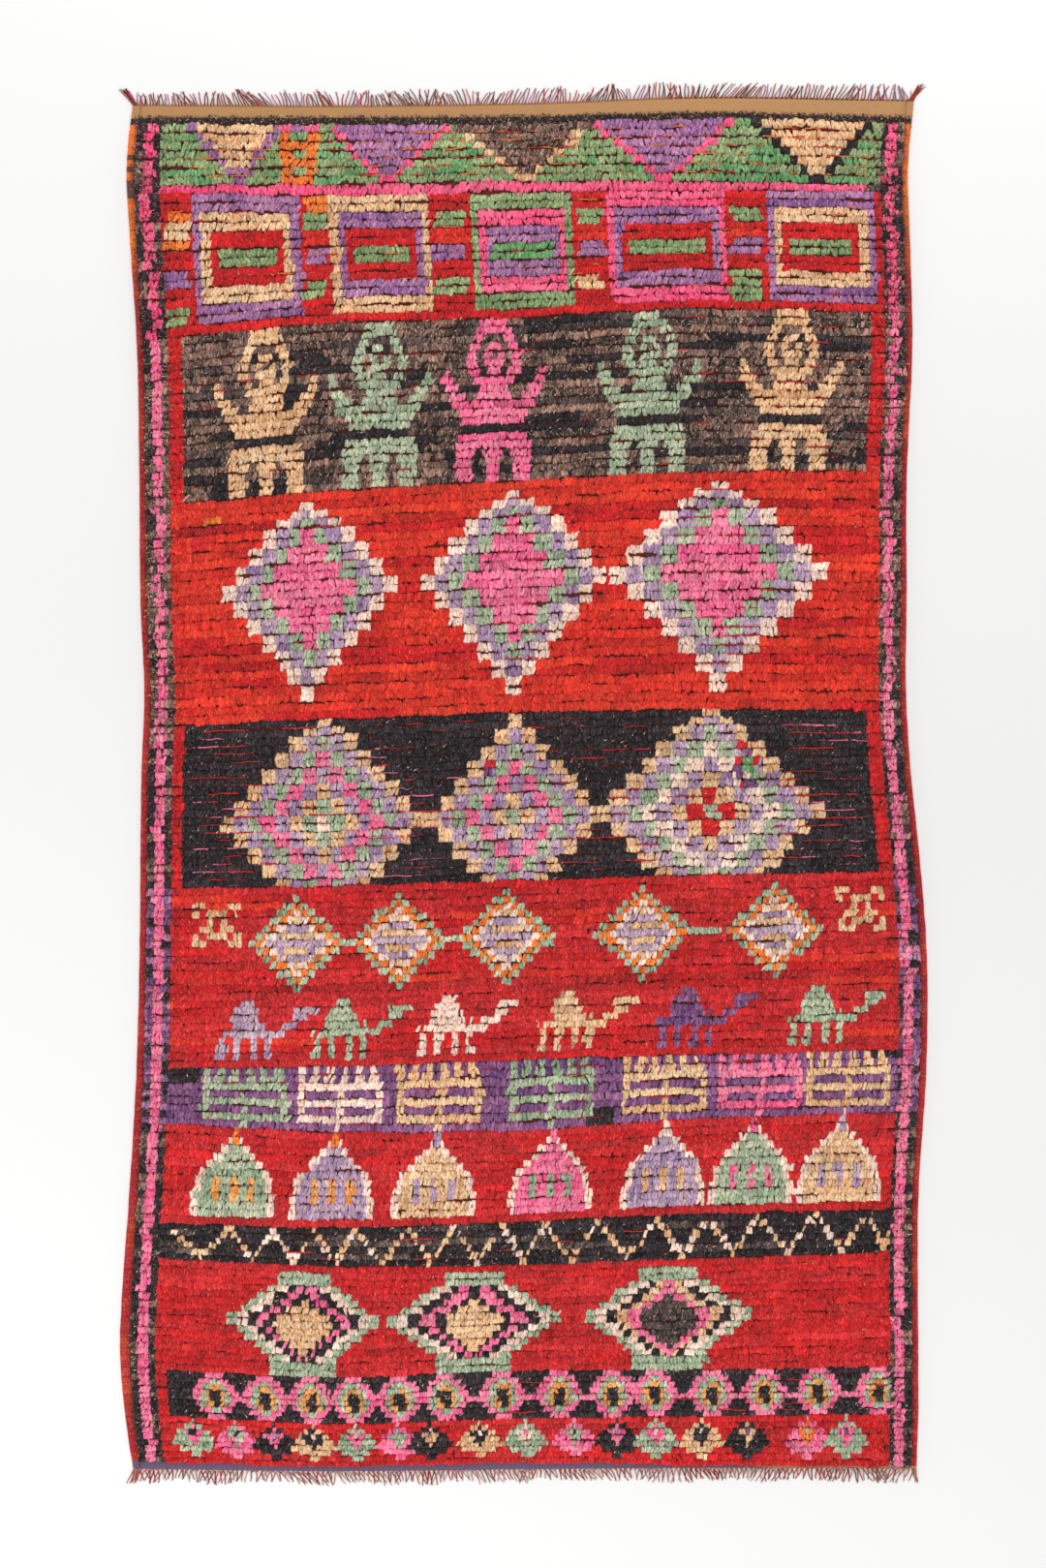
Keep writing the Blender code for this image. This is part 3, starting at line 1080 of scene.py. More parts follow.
# A binding: its cords and the turns of yarn that wrap them
BINDING_CORDS = 4
CORD_STEPS = 4
BINDING_TOP = 6.6 * MM
CORD_GROOVE = 1.8 * MM
TURN_SPACING = 4.4 * MM
TURN_RELIEF = 0.7 * MM
# Where the left binding is worn dark, and where the yarn of both turns from red to orange
WORN_FROM = 1330 * MM
WORN_TO = 1190 * MM
ORANGE_FADES = 1000 * MM
ORANGE_FROM = 1200 * MM


def smooth_step(value, low, high):
    """From 0 at low to 1 at high, eased at both ends."""
    share = np.clip((value - low) / (high - low), 0, 1)
    return share * share * (3 - 2 * share)


def add_binding(name, side, materials):
    """The yarn that goes back and forth over the outermost warps, closing the side. Its materials
    are the yarn, the yarn where it is worn, and the wefts of the three end weaves: the gold one and
    the dark one at the top, and the one at the bottom."""
    top = line_y("cloth top", edge_x(1.4, side))
    bottom = line_y("cloth bottom", edge_x(-1.4, side))
    turns = int((top - bottom) / TURN_SPACING)
    steps = 2 * turns + 1
    y = np.linspace(top, bottom, steps)
    outer = edge_x(y, side)
    inner = binding_inner_x(y, side)
    u = np.linspace(0, 1, BINDING_CORDS * CORD_STEPS + 1)
    cords = np.abs(np.sin(math.pi * BINDING_CORDS * u)) ** 0.7
    swell = np.sin(math.pi * np.clip(u, 0.02, 0.98)) ** 0.25
    z = (BINDING_TOP - CORD_GROOVE * (1 - cords)) * swell
    turn = (np.arange(steps) % 2)[:, None]
    heights = np.broadcast_to(z[None, :], (steps, len(u))) + TURN_RELIEF * (turn - 1) * cords[None, :]
    heights = heights + rng.normal(0, 0.15 * MM, (steps, len(u)))
    wander = 0.35 * MM * soft_noise(1, steps, 9)[0][:, None] + 0.25 * MM * (turn - 0.5)
    x = outer[:, None] + (inner - outer)[:, None] * u[None, :]
    x = x + side * wander * (1 - u)[None, :]
    yy = np.broadcast_to(y[:, None], x.shape) + rng.normal(0, 0.25 * MM, x.shape)
    heights[:, 0] = 1.2 * MM
    heights[:, -1] = 2.4 * MM
    top_points = np.stack([x, yy, heights], axis=2).reshape(-1, 3)
    each = len(u)
    floor = np.stack(
        [x[:, [0, -1]], yy[:, [0, -1]], np.zeros((steps, 2))], axis=2
    ).reshape(-1, 3)
    faces = grid_faces(steps, each)
    under = len(top_points)
    row = np.arange(steps - 1)
    foot = under + 2 * row
    start = row * each
    end = start + each - 1
    base = np.stack([foot, foot + 1, foot + 3, foot + 2], axis=1)
    outside = np.stack([start, foot, foot + 2, start + each], axis=1)
    inside = np.stack([end, end + each, foot + 3, foot + 1], axis=1)
    every = np.concatenate([faces, base, outside, inside])
    if side == RIGHT:
        every = every[:, ::-1]
    points = np.concatenate([top_points, floor])
    tone = 1 + 0.1 * soft_noise(1, steps, 14)[0] + rng.normal(0, 0.05, steps)
    tones = np.concatenate([np.repeat(tone, each), np.repeat(tone, 2)])
    turn_slots = np.zeros(steps - 1, int)
    if side == LEFT:
        worn = (y[:-1] < WORN_FROM) & (y[:-1] > WORN_TO)
        turn_slots = np.where(worn & (soft_noise(1, steps - 1, 4)[0] > 0.1), 1, 0)
    # The end weaves carry on over the binding's ends
    turn_slots = np.where(y[:-1] > line_y("pile top", outer[:-1]), 3, turn_slots)
    turn_slots = np.where(y[:-1] > line_y("gold band ends", outer[:-1]), 2, turn_slots)
    turn_slots = np.where(y[:-1] < line_y("pile bottom", outer[:-1]), 4, turn_slots)
    slots = np.concatenate([np.repeat(turn_slots, each - 1), turn_slots, turn_slots, turn_slots])
    orange = 0.06 + 0.86 * smooth_step(y, ORANGE_FADES, ORANGE_FROM)
    dye = np.clip(orange + 0.15 * soft_noise(1, steps, 30)[0] + rng.normal(0, 0.12, steps), 0, 1)
    dyes = np.concatenate([np.repeat(dye, each), np.repeat(dye, 2)])
    return add_mesh(name, points, every, slots, materials, tone=tones, dye=dyes)


def tube_faces(first, rings):
    """The faces of a thin tube of three sides, from its first point on, a ring of three after a
    ring of three."""
    faces = []
    for ring in range(rings - 1):
        for k in range(3):
            a = first + 3 * ring + k
            b = first + 3 * ring + (k + 1) % 3
            faces.append((a, b, b + 3, a + 3))
    return faces


# The fringe: cut warp ends, some of which open into two strands
WARP_SPACING = {TOP: 6.6 * MM, BOTTOM: 9.6 * MM}
OPENED_SHARE = {TOP: 0.12, BOTTOM: 0.85}
OPENED_LEAN = 0.27
STRAND_STEPS = 6
STRAND_RADIUS = 1.7 * MM
TWINING_WIDTH = 4.2 * MM
TWINING_PITCH = 5.2 * MM
FRINGE_LENGTHS = {TOP: 31 * MM, BOTTOM: 27 * MM}
# The strands bunched at the corners, where the bindings' own warps end: (end, side, how many)
CORNER_STRANDS = ((TOP, LEFT, 14), (TOP, RIGHT, 10), (BOTTOM, LEFT, 8), (BOTTOM, RIGHT, 4))


def cloth_end_ends(end):
    """Where the cloth's last line starts and stops at one end of the rug."""
    name = "cloth top" if end == TOP else "cloth bottom"
    return name, *meets(lambda x: line_y(name, x), edge_x)


def strand_plan(end):
    """Root, lean, length and dye of every strand of one fringe."""
    line, left, right = cloth_end_ends(end)
    warps = int((right - left) / WARP_SPACING[end])
    roots = left + (np.arange(warps) + 0.5) / warps * (right - left)
    outward = np.linspace(-0.55, 0.55, warps) if end == TOP else np.zeros(warps)
    lean = outward + 0.45 * soft_noise(1, warps, 4)[0] + 0.25 * soft_noise(1, warps, 22)[0]
    size = 1 + 0.2 * soft_noise(1, warps, 4)[0]
    dye = 0.5 + 0.5 * soft_noise(1, warps, 5)[0]
    plan = []
    for i, root in enumerate(roots):
        opened = rng.random() < OPENED_SHARE[end]
        for aside in ((-OPENED_LEAN, OPENED_LEAN) if opened else (0,)):
            plan.append((root + aside * 2 * MM, lean[i] + aside, size[i], dye[i]))
    for corner_end, side, count in CORNER_STRANDS:
        if corner_end == end:
            edge = left if side == LEFT else right
            for _ in range(count):
                inward = rng.uniform(0.5, 11) * MM
                outward = side * rng.uniform(0.35, 1.0) * (1 if end == TOP else 0.25)
                plan.append((edge - side * inward, outward, 1.08, rng.uniform(0.3, 1)))
    return line, plan


def add_fringe(name, end, materials):
    """Cut warp ends in leaning clumps. Each is a thin tube that curls a little."""
    line, plan = strand_plan(end)
    points, faces, slots, dyes = [], [], [], []
    turn = np.arange(3) * 2 * math.pi / 3
    for root, lean, size, dye in plan:
        length = FRINGE_LENGTHS[end] * min(size * rng.uniform(0.75, 1.05), 1.12)
        slope = lean + rng.normal(0, 0.06)
        curl = rng.normal(0, 0.2)
        phase = rng.uniform(0, 2 * math.pi)
        x0 = root + rng.normal(0, 0.4 * MM)
        y0 = line_y(line, root) + end * (PIECE_GAP + 0.4 * TWINING_WIDTH)
        lift = rng.uniform(0.9, 1.7) * MM
        base = len(points)
        for step in range(STRAND_STEPS):
            share = step / (STRAND_STEPS - 1)
            away = length * share
            aside = slope * away + curl * away * share * 0.5 + 0.7 * MM * math.sin(phase + 6 * share)
            radius = STRAND_RADIUS * (1 - 0.3 * share)
            z = radius + lift * (1 - 0.8 * share)
            for angle in turn + phase:
                points.append((
                    x0 + aside + radius * math.cos(angle),
                    y0 + end * away,
                    max(z + radius * math.sin(angle), 0.05 * MM),
                ))
        slot = int(np.clip(dye * len(materials) + rng.normal(0, 0.5), 0, len(materials) - 1))
        dyes.append(rng.uniform(0, 1))
        tube = tube_faces(base, STRAND_STEPS)
        faces += tube if end == BOTTOM else [quad[::-1] for quad in tube]
        slots += [slot] * len(tube)
    tone = np.repeat(1 + rng.normal(0, 0.1, len(plan)), 3 * STRAND_STEPS)
    dye = np.repeat(dyes, 3 * STRAND_STEPS)
    return add_mesh(name, points, faces, slots, materials, tone=tone, dye=dye)


def add_twining(name, end, materials, dotted_from):
    """The row of twined yarn that locks the warps where the fringe starts. Its second yarn shows as
    dots to the right of dotted_from."""
    line, left, right = cloth_end_ends(end)
    count = int((right - left) / TWINING_PITCH)
    x = left + (np.arange(count) + 0.5) / count * (right - left)
    y = line_y(line, x) + end * (PIECE_GAP + TWINING_WIDTH / 2)
    ones = np.ones(count)
    slots = np.where(x > dotted_from, np.arange(count) % 2, 0)
    # The last value, 0.5, paints half shade at the foot of each twist, as on the pile's tufts
    return tufts(
        name, x, y, ones * TWINING_PITCH, ones * TWINING_WIDTH * 0.86,
        3.4 * MM + rng.normal(0, 0.2 * MM, count), ones * 0.1 * MM, ones * 0.5, ones * 0, ones * 0,
        slots, materials, 1 + rng.normal(0, 0.1, count), rng.uniform(0, 1, count), ones * 0.5,
    )


# Loose fibres: single locks of wool that stand out of the pile's surface
FIBRE_RADIUS = 1.1 * MM


def add_fibres(name, x, y, z, angle, length, slots, materials):
    """Thin cones of wool, one for each value in the flat arrays, lying at their angles."""
    count = len(x)
    radius = FIBRE_RADIUS * rng.uniform(0.7, 1.2, count)
    along = np.stack([np.cos(angle), np.sin(angle)], axis=1)
    across = np.stack([-along[:, 1], along[:, 0]], axis=1)
    middle = np.stack([x, y], axis=1)
    base = middle - along * length[:, None] / 2
    tip = middle + along * length[:, None] / 2
    side = across * radius[:, None]
    points = np.stack([
        np.column_stack([base + side, z - radius]),
        np.column_stack([base - side, z - radius]),
        np.column_stack([base + along * radius[:, None], z + radius]),
        np.column_stack([tip, z + rng.uniform(-1, 1, count) * radius]),
    ], axis=1)
    faces = np.array([(0, 1, 3), (1, 2, 3), (2, 0, 3), (0, 2, 1)])
    faces = faces[None, :, :] + (np.arange(count) * 4)[:, None, None]
    return add_mesh(
        name, points.reshape(-1, 3), faces.reshape(-1, 3), np.repeat(slots, 4), materials,
        tone=np.repeat(1 + rng.normal(0, 0.15, count), 4),
        dye=np.repeat(rng.uniform(0, 1, count), 4),
    )


# The yarns with loose fibres: the share of their knots that has one, and the fibres' own yarns
KNOT_FIBRES = {
    HEATHER: (1.0, "tteekk"),
    DUSK: (0.6, "hkte"),
    BLACK: (0.3, "hhhlte"),
    VIOLET: (0.25, "llk"),
    RED: (0.05, "vt"),
}


def add_pile_fibres(knots, yarns):
    """Fibres of other wools, carded in with a yarn, lie across its knots."""
    letters = sorted(set("".join(kinds for _, kinds in KNOT_FIBRES.values())))
    places = [row_line(row) for row in range(ROWS)]
    x = np.array([place[0] for place in places])
    y = np.array([place[1] for place in places])
    chosen, slots = [], []
    for letter, (share, kinds) in KNOT_FIBRES.items():
        pick = np.flatnonzero((knots == letter).ravel() & (rng.random(knots.size) < share))
        chosen.append(pick)
        slots.append([letters.index(rng.choice(list(kinds))) for _ in pick])
    chosen = np.concatenate(chosen)
    slots = np.concatenate(slots).astype(int)
    count = len(chosen)
    return add_fibres(
        "loose_fibres",
        x.ravel()[chosen] + rng.normal(0, 2 * MM, count),
        y.ravel()[chosen] + rng.normal(0, 5 * MM, count),
        PILE_TOP * 0.97 + rng.normal(0, 0.4 * MM, count),
        rng.normal(0.9, 0.6, count),
        rng.uniform(5, 11, count) * MM,
        slots,
        [yarns[letter] for letter in letters],
    )


# The dark knots beside the bindings are of springy wool that stands out sideways: (last band,
# fibres for each row of a dark column, how far they spread in knots, yarns)
FLANK_FIBRES = (
    ("squares end", 17, 1.5, "khkhkf"), ("large lozenges end", 12, 0.9, "khkht"),
    ("combs end", 7, 0.8, "kkhu"), ("pile bottom", 5, 0.8, "kkkh"),
)
# How far out they start at most, in knots from where the binding meets the cloth
FLANK_REACH = -1.2


def add_flank_fibres(yarns):
    letters = "khtuf"
    x, y, angle, slots = [], [], [], []
    for name, (fibres, spread, kinds) in by_band(FLANK_FIBRES).items():
        first, rows = BANDS[name][2:]
        for row in range(first, first + rows):
            line_x, line_height, pitch = row_line(row)
            for side, columns in ((LEFT, LEFT_COLUMNS), (RIGHT, RIGHT_COLUMNS)):
                edge = line_x[0] if side == LEFT else line_x[-1]
                for flank in (columns[0] * 0.4, sum(columns) - 1.2):
                    for _ in range(fibres):
                        aside = max(flank + rng.normal(0, spread), FLANK_REACH)
                        x.append(edge - side * aside * pitch)
                        y.append(line_height[0 if side == LEFT else -1] + rng.uniform(-8, 8) * MM)
                        outward = rng.choice([0, math.pi])
                        angle.append(outward + rng.normal(0, 0.5))
                        slots.append(letters.index(rng.choice(list(kinds))))
    x, y, angle = np.array(x), np.array(y), np.array(angle)
    count = len(x)
    return add_fibres(
        "flank_fibres", x, y, PILE_TOP * 0.95 + rng.normal(0, 0.6 * MM, count), angle,
        rng.uniform(6, 13, count) * MM, np.array(slots), [yarns[letter] for letter in letters],
    )


STRIPE_FIBRES = 3600


def add_stripe_fibres(yarns):
    """The dark stripe at the top is of the same springy wool."""
    letters = "kht"
    _, left, right = cloth_end_ends(TOP)
    count = STRIPE_FIBRES
    x = rng.uniform(left + 4 * MM, right - 4 * MM, count)
    share = rng.uniform(-0.3, 1.45, count)
    y = between("gold band ends", "pile top", share, x)
    slots = rng.choice(3, count, p=(0.6, 0.28, 0.12))
    return add_fibres(
        "stripe_fibres", x, y, END_WEAVE_TOP + rng.uniform(0, 2.2, count) * MM,
        rng.uniform(0, 2 * math.pi, count), rng.uniform(4, 9, count) * MM, slots,
        [yarns[letter] for letter in letters],
    )


# Weft that shows between the rows: (band, lines, longest, yarns, from, to), in mm and from the
# middle line
WEFT_LINES = (
    ("triangles end", 30, 40, "o", -720, -500),
    ("triangles end", 70, 50, "oor", -420, 160),
    ("triangles end", 60, 50, "oor", 160, 740),
    ("squares end", 70, 40, "ro", -740, 740),
    ("figures end", 34, 60, "rc", -700, 760),
    ("figures end", 20, 60, "rc", 300, 760),
    ("large lozenges end", 20, 70, "r", -500, -320),
    ("large lozenges end", 24, 70, "r", -70, 60),
    ("large lozenges end", 40, 90, "rc", 290, 530),
    ("tiled lozenges end", 34, 110, "rcp", -700, -540),
    ("tiled lozenges end", 26, 110, "rcp", -330, -120),
    ("tiled lozenges end", 20, 90, "rc", 60, 300),
    ("tiled lozenges end", 44, 120, "rcp", 500, 722),
    ("tiled lozenges end", 40, 80, "rc", -640, 600),
    ("combs end", 40, 80, "rc", -740, 780),
    ("zigzag ends", 12, 90, "rc", -740, 760),
    ("rosettes end", 12, 90, "rc", -740, 760),
)
SHORTEST_WEFT = 14
WEFT_STEPS = 6
WEFT_RADII = (0.7 * MM, 1.7 * MM)


def add_weft_lines(yarns):
    """Stretches of weft yarn that are not packed down and lie between two rows of knots."""
    letters = "corp"
    points, faces, slots = [], [], []
    for band, lines, longest, kinds, start, end in WEFT_LINES:
        _, _, first, rows = BANDS[band]
        for _ in range(lines):
            row = first + int(rng.integers(1, rows)) - 0.5
            length = rng.uniform(SHORTEST_WEFT, longest)
            x0 = rng.uniform(start, end - length) * MM
            x = x0 + np.linspace(0, length * MM, WEFT_STEPS)
            y = row_middle(row, x) + rng.normal(0, 0.9 * MM, WEFT_STEPS)
            z = PILE_TOP * 0.9 - 2.5 * MM * np.linspace(-1, 1, WEFT_STEPS) ** 4
            base = len(points)
            radius = rng.uniform(*WEFT_RADII)
            for px, py, pz in zip(x, y, z):
                for angle in (0.5, 2.6, 4.7):
                    points.append((px, py + radius * math.cos(angle), pz + radius * math.sin(angle)))
            slot = letters.index(rng.choice(list(kinds)))
            tube = tube_faces(base, WEFT_STEPS)
            faces += [(a, d, c, b) for a, b, c, d in tube]
            slots += [slot] * len(tube)
    tone = rng.uniform(0.8, 1.1, len(points))
    dye = rng.uniform(0.3, 0.7, len(points))
    materials = [yarns[letter] for letter in letters]
    return add_mesh("weft_lines", points, faces, slots, materials, tone=tone, dye=dye)


# Materials


def linear(hex_colour):
    """The linear colour that Blender wants, from sRGB hex."""
    parts = [int(hex_colour[i : i + 2], 16) / 255 for i in (1, 3, 5)]
    straight = [p / 12.92 if p <= 0.04045 else ((p + 0.055) / 1.055) ** 2.4 for p in parts]
    return (*straight, 1.0)


def node(tree, kind, settings=None, **inputs):
    """Adds one node with its settings and links. An input is a value, or an output socket to link. It
    goes by its name, with underscores for spaces, or by its number, as i0 and i1."""
    made = tree.nodes.new(kind)
    for key, value in (settings or {}).items():
        setattr(made, key, value)
    for key, value in inputs.items():
        by_number = key[1:].isdigit()
        socket = made.inputs[int(key[1:]) if by_number else key.replace("_", " ")]
        if isinstance(value, bpy.types.NodeSocket):
            tree.links.new(value, socket)
        else:
            socket.default_value = value
    return made


def empty_material(name):
    """A material without nodes, and its node tree."""
    material = bpy.data.materials.new(name)
    material.use_nodes = True
    material.node_tree.nodes.clear()
    return material, material.node_tree


# Single wool fibres, some 0.03 mm wide, are too fine to show, so they are drawn eighty times as coarse
FIBRE_WIDTH = 2.4 * MM
FIBRE_LENGTH = 7.0 * MM
DYE_PATCH = 42 * MM


def dyed_wool(
    name, first_lot, second_lot, fleck_and_glint="#FFE9DC", fleck_and_glint_share=0.22, depth=0.54, root="#5A2020"
):
    """Hand-spun dyed wool, cut and packed as pile. It scatters light softly with a faint sheen, its dye
    took unevenly, and its fibres carry painted light and shade: pale flecks, partly paler fibres and
    partly painted glints where single fibres catch the light. Where the lit attribute is low it takes
    the root colour, painted shade between the knots with the foundation's colour in it."""
    material, tree = empty_material("wool_" + name)
    place = node(tree, "ShaderNodeTexCoord").outputs["Object"]
    along = node(
        tree, "ShaderNodeMapping", Vector=place,
        Scale=(1 / FIBRE_WIDTH, 1 / FIBRE_LENGTH, 1 / FIBRE_LENGTH), Rotation=(0, 0, 0.35),
    ).outputs[0]
    fibres = node(tree, "ShaderNodeTexNoise", Vector=along, Scale=1.0, Detail=3.0, Roughness=0.6)
    dye = node(tree, "ShaderNodeTexNoise", Vector=place, Scale=1 / DYE_PATCH, Detail=2.0)
    tone = node(tree, "ShaderNodeAttribute", {"attribute_name": "tone"}).outputs["Fac"]
    # Painted fibre shading: the fibre noise lightens and darkens the colour by up to depth, standing in
    # for light and shade on single fibres
    shade = node(
        tree, "ShaderNodeMapRange", Value=fibres.outputs["Fac"],
        i1=0.34, i2=0.66, i3=1 - depth, i4=1 + depth,
    ).outputs[0]
    dye_shade = node(
        tree, "ShaderNodeMapRange", Value=dye.outputs["Fac"], i1=0.3, i2=0.7, i3=0.92, i4=1.08,
    ).outputs[0]
    value = node(tree, "ShaderNodeMath", {"operation": "MULTIPLY"}, i0=shade, i1=tone).outputs[0]
    value = node(tree, "ShaderNodeMath", {"operation": "MULTIPLY"}, i0=value, i1=dye_shade).outputs[0]
    lot = node(tree, "ShaderNodeAttribute", {"attribute_name": "dye"}).outputs["Fac"]
    colour = node(
        tree, "ShaderNodeMix", {"data_type": "RGBA"},
        i0=lot, i6=linear(first_lot), i7=linear(second_lot),
    ).outputs[2]
    toned = node(tree, "ShaderNodeHueSaturation", Value=value, Color=colour).outputs[0]
    # Pale flecks, partly paler fibres and partly painted glints of fibres catching the light
    flecks_and_glints = node(
        tree, "ShaderNodeMapRange", Value=fibres.outputs["Fac"],
        i1=0.55, i2=0.7, i3=0.0, i4=fleck_and_glint_share,
    ).outputs[0]
    mixed = node(
        tree, "ShaderNodeMix", {"data_type": "RGBA"}, i0=flecks_and_glints, i6=toned, i7=linear(fleck_and_glint),
    ).outputs[2]
    # Painted shade: where lit is low the colour turns to root, which stands in for the shadow between
    # the knots mixed with the foundation's colour
    lit = node(tree, "ShaderNodeAttribute", {"attribute_name": "lit"}).outputs["Fac"]
    painted_light_share = node(
        tree, "ShaderNodeMapRange", {"interpolation_type": "SMOOTHSTEP"}, Value=lit,
        i1=0.0, i2=0.7, i3=0.1, i4=1.0,
    ).outputs[0]
    mixed = node(
        tree, "ShaderNodeMix", {"data_type": "RGBA"}, i0=painted_light_share, i6=linear(root), i7=mixed,
    ).outputs[2]
    bump = node(
        tree, "ShaderNodeBump", Height=fibres.outputs["Fac"], Strength=0.5, Distance=0.8 * MM,
    ).outputs[0]
    surface = node(
        tree, "ShaderNodeBsdfPrincipled", Base_Color=mixed, Roughness=0.92, Normal=bump,
        Sheen_Weight=0.25, Sheen_Roughness=0.5, IOR=1.5, Specular_IOR_Level=0.25,
    )
    node(tree, "ShaderNodeOutputMaterial", Surface=surface.outputs[0])
    return material


# How far apart the twill's lines are. Real ones, some 2 mm apart, are too fine to show.
TWILL_PERIOD = 6 * MM
# The wave texture repeats at this distance in metres when its scale is 1
WAVE_REPEAT = math.pi / 5


def twill_weave(name, raised, sunk_shade):
    """A weft-faced wool twill. Its slanting ribs are the raised colour, and the lines between them a
    darker copy of it, painted shade in the grooves; single threads differ."""
    material, tree = empty_material("twill_" + name)
    place = node(tree, "ShaderNodeTexCoord").outputs["Object"]
    ribs = node(
        tree, "ShaderNodeTexWave", {"bands_direction": "DIAGONAL"}, Vector=place,
        Scale=WAVE_REPEAT / TWILL_PERIOD, Distortion=1.0, Detail=1.0, Detail_Scale=1.0,
    )
    threads = node(tree, "ShaderNodeTexNoise", Vector=place, Scale=1 / FIBRE_WIDTH, Detail=2.0)
    height = node(
        tree, "ShaderNodeMath", {"operation": "MULTIPLY"},
        i0=ribs.outputs["Fac"], i1=threads.outputs["Fac"],
    ).outputs[0]
    share = node(tree, "ShaderNodeMapRange", Value=height, i1=0.05, i2=0.5, i3=0.0, i4=1.0).outputs[0]
    # Painted shade: the low parts of the ribs take the darker sunk colour
    colour = node(
        tree, "ShaderNodeMix", {"data_type": "RGBA"}, i0=share, i6=linear(sunk_shade), i7=linear(raised),
    ).outputs[2]
    bump = node(tree, "ShaderNodeBump", Height=height, Strength=0.6, Distance=0.8 * MM).outputs[0]
    surface = node(
        tree, "ShaderNodeBsdfPrincipled", Base_Color=colour, Roughness=0.9, Normal=bump,
        Sheen_Weight=0.2, Sheen_Roughness=0.5, IOR=1.5, Specular_IOR_Level=0.25,
    )
    node(tree, "ShaderNodeOutputMaterial", Surface=surface.outputs[0])
    return material


# The yarns whose flecks, painted fibre shading and painted shadow are their own: the colour and share
# of the flecks, partly paler fibres and partly painted glints, the depth of the painted fibre shading,
# and the root colour, painted shade between the knots with the foundation's colour in it
YARN_FLECKS_AND_SHADE = {
    HEATHER: ("#D8C0AC", 0.8, 0.6, "#1C1210"),
    BLACK: ("#A89CA0", 0.32, 0.8, "#0C0808"),
    DUSK: ("#B0A098", 0.6, 0.6, "#1C1210"),
    VIOLET: ("#C8B0D0", 0.3, 0.5, "#2A1220"),
    SAGE: ("#EAF0D0", 0.26, 0.58, "#6E3214"),
    MINT: ("#F4F8E8", 0.26, 0.56, "#6E3A28"),
    TAN: ("#FFF2D2", 0.26, 0.56, "#8A3C1E"),
    CREAM: ("#FFF8F0", 0.26, 0.5, "#96503A"),
    PINK: ("#FFE0E8", 0.24, 0.54, "#8A1838"),
    ROSE: ("#FFD0DC", 0.24, 0.54, "#7A1430"),
    RED: ("#FA9878", 0.28, 0.46, "#5A0C0E"),
    CRIMSON: ("#FA9878", 0.32, 0.46, "#5A0C0E"),
    VERMILION: ("#FFA070", 0.28, 0.44, "#6E120C"),
}


def yarn_materials():
    """A material for each letter of the charts."""
    made = {}
    for letter, (name, first_lot, second_lot) in YARNS.items():
        made[letter] = dyed_wool(name, first_lot, second_lot, *YARN_FLECKS_AND_SHADE.get(letter, ()))
    return made


def floor_material():
    """A matt painted floor, even and pale."""
    material = bpy.data.materials.new("painted_floor")
    material.use_nodes = True
    surface = material.node_tree.nodes["Principled BSDF"]
    surface.inputs["Base Color"].default_value = linear("#FCFCFB")
    surface.inputs["Roughness"].default_value = 0.9
    return material


# The scene

# The camera looks straight down, as high as a studio's, and takes in the photograph's frame
PHOTO_HEIGHT = 1619 * 2 * MM
CAMERA_HEIGHT = 7.5
CAMERA_ABOVE_MIDDLE = 1 * MM
SENSOR = 36.0


def add_camera():
    data = bpy.data.cameras.new("camera")
    data.sensor_width = SENSOR
    data.lens = SENSOR * CAMERA_HEIGHT / PHOTO_HEIGHT
    data.clip_end = 50
    camera = bpy.data.objects.new("camera", data)
    camera.location = (CENTRE[0], CENTRE[1] + CAMERA_ABOVE_MIDDLE, CAMERA_HEIGHT)
    bpy.context.collection.objects.link(camera)
    bpy.context.scene.camera = camera


def add_light(name, place, size, power):
    """A rectangular light that faces the middle of the rug."""
    data = bpy.data.lights.new(name, "AREA")
    data.shape = "RECTANGLE"
    data.size, data.size_y = size
    data.energy = power
    light = bpy.data.objects.new(name, data)
    light.location = place
    away = -np.asarray(place, float)
    light.rotation_euler = (
        math.atan2(math.hypot(away[0], away[1]), -away[2]), 0, math.atan2(away[0], -away[1])
    )
    bpy.context.collection.objects.link(light)


def light_scene():
    """Soft daylight from the rug's top end, filled from all round."""
    add_light("softbox_top", (0.6, 4.2, 4.2), (3.0, 2.0), 230)
    add_light("softbox_fill", (-2.0, -3.2, 5.0), (3.0, 3.0), 130)
    world = bpy.data.worlds.new("studio")
    world.use_nodes = True
    world.node_tree.nodes["Background"].inputs["Color"].default_value = (1, 1, 1, 1)
    world.node_tree.nodes["Background"].inputs["Strength"].default_value = 0.85
    bpy.context.scene.world = world
    bpy.context.scene.view_settings.view_transform = "Standard"


FLOOR_REACH = 6


def add_floor():
    points = [
        (-FLOOR_REACH, -FLOOR_REACH, 0), (FLOOR_REACH, -FLOOR_REACH, 0),
        (FLOOR_REACH, FLOOR_REACH, 0), (-FLOOR_REACH, FLOOR_REACH, 0),
    ]
    floor = add_mesh("floor", points, [(0, 1, 2, 3)], [0], [floor_material()], smooth=False)


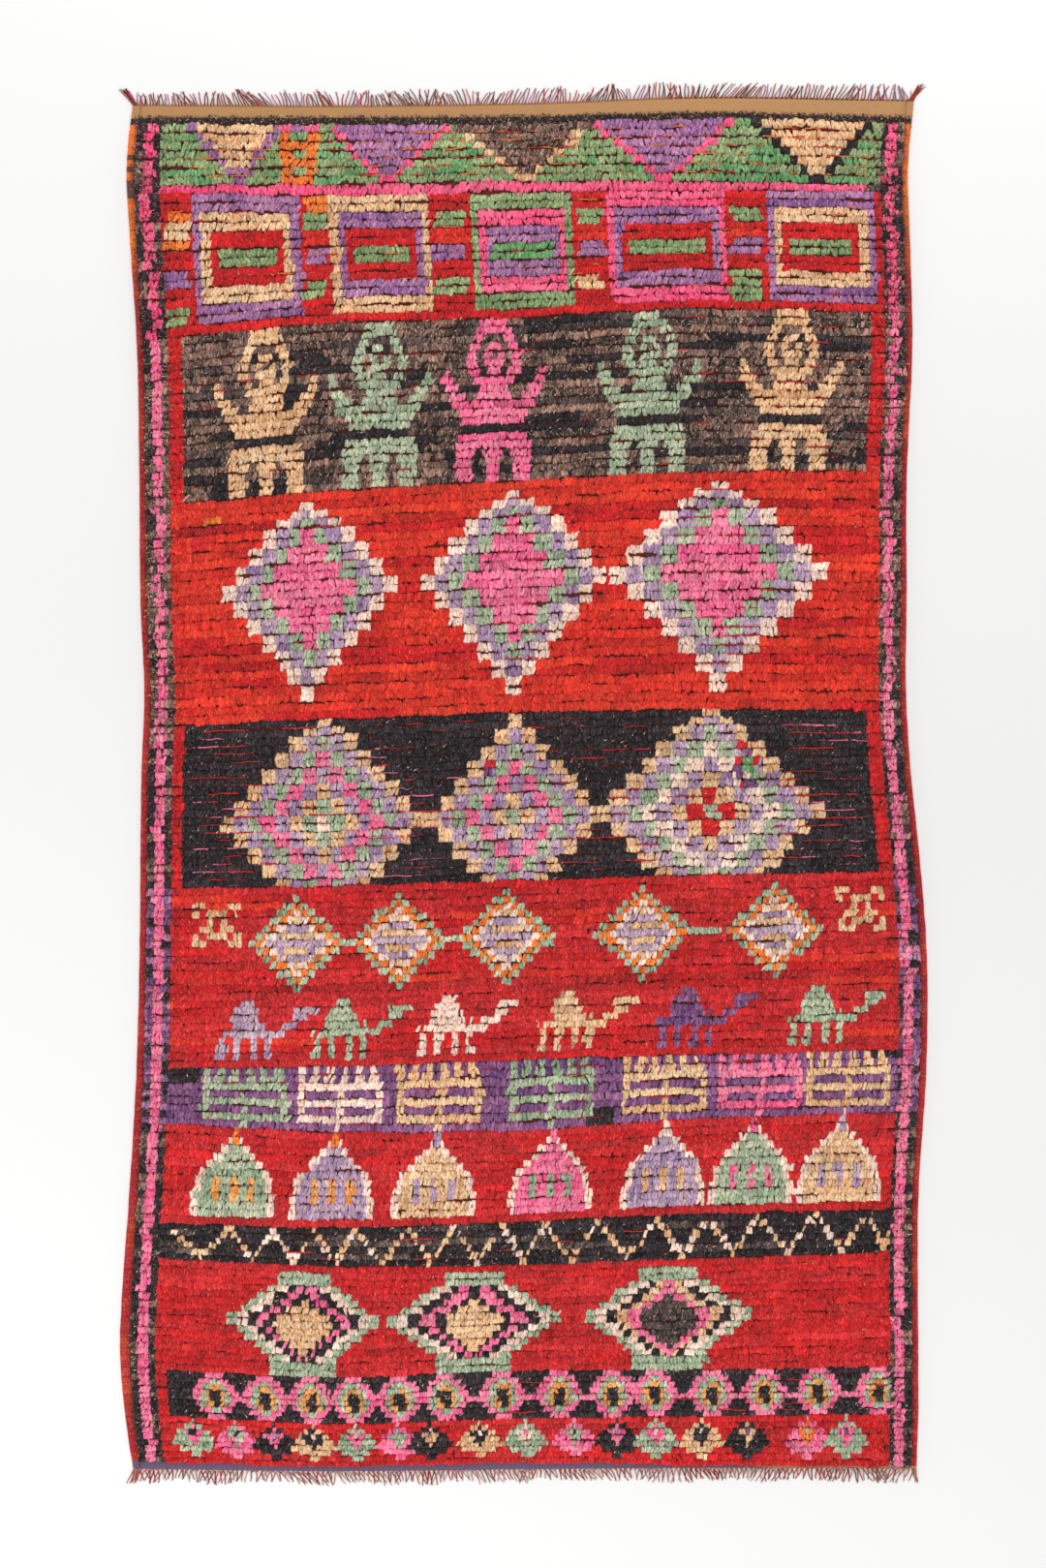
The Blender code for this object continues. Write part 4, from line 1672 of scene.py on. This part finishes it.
def build_scene():
    knots = pattern()
    yarns = yarn_materials()
    rust = dyed_wool("rust", "#B0222C", "#F07C30", "#F4C8A8", 0.2, 0.3)
    binding_dark = dyed_wool("binding_dark", "#4A2A28", "#70483A", "#B48A78", 0.3, 0.4)
    gold = twill_weave("gold_weft", "#D8A674", "#AE7E50")
    dark_weft = dyed_wool("dark_weft", "#1E1412", "#4A342E", "#A08070", 0.35, 0.5)
    lilac_weft = twill_weave("lilac_weft", "#82708C", "#5C4A6A")
    warp = dyed_wool("warp", "#6A2820", "#8C4434", "#A87060", 0.3, 0.3)
    strands = [
        dyed_wool("warp_mauve", "#8A4666", "#C486A0", "#E0C0C8", 0.1, 0.3),
        dyed_wool("warp_rust", "#7E180C", "#BE3C16", "#E0B0A0", 0.1, 0.3),
        dyed_wool("warp_brown", "#62241A", "#9A4230", "#B08478", 0.1, 0.3),
    ]
    pale_strands = [
        dyed_wool("warp_tan", "#84382C", "#B0604C", "#F0DCD0", 0.1, 0.2),
        dyed_wool("warp_pale", "#A87468", "#D4A498", "#F0DCD0", 0.1, 0.2),
        strands[1],
    ]

    foundation = add_foundation([gold, dark_weft, warp, lilac_weft])
    dye = dye_lots()
    pile = [add_pile_band(name, knots, dye, yarns) for name in BANDS]
    fringes = [
        add_fringe("fringe_strands_top", TOP, strands),
        add_fringe("fringe_strands_bottom", BOTTOM, pale_strands),
    ]
    twinings = [
        add_twining("twining_top", TOP, [gold, strands[2]], 300 * MM),
        add_twining("twining_bottom", BOTTOM, [yarns[CREAM], pale_strands[1]], -800 * MM),
    ]
    loose = [
        add_pile_fibres(knots, yarns), add_flank_fibres(yarns), add_stripe_fibres(yarns),
        add_weft_lines(yarns),
    ]
    bindings = [
        add_binding("wrapped_binding_left", LEFT, [rust, binding_dark, gold, dark_weft, lilac_weft]),
        add_binding("wrapped_binding_right", RIGHT, [rust, binding_dark, gold, dark_weft, gold]),
    ]
    for piece in [foundation, *pile, *loose, *fringes, *twinings, *bindings]:
        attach(piece, "root")
    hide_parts("rug_cloth")
    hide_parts("binding_left")
    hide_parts("binding_right")
    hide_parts("fringe_top")
    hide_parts("fringe_bottom")
    add_floor()
    add_camera()
    light_scene()


build_scene()
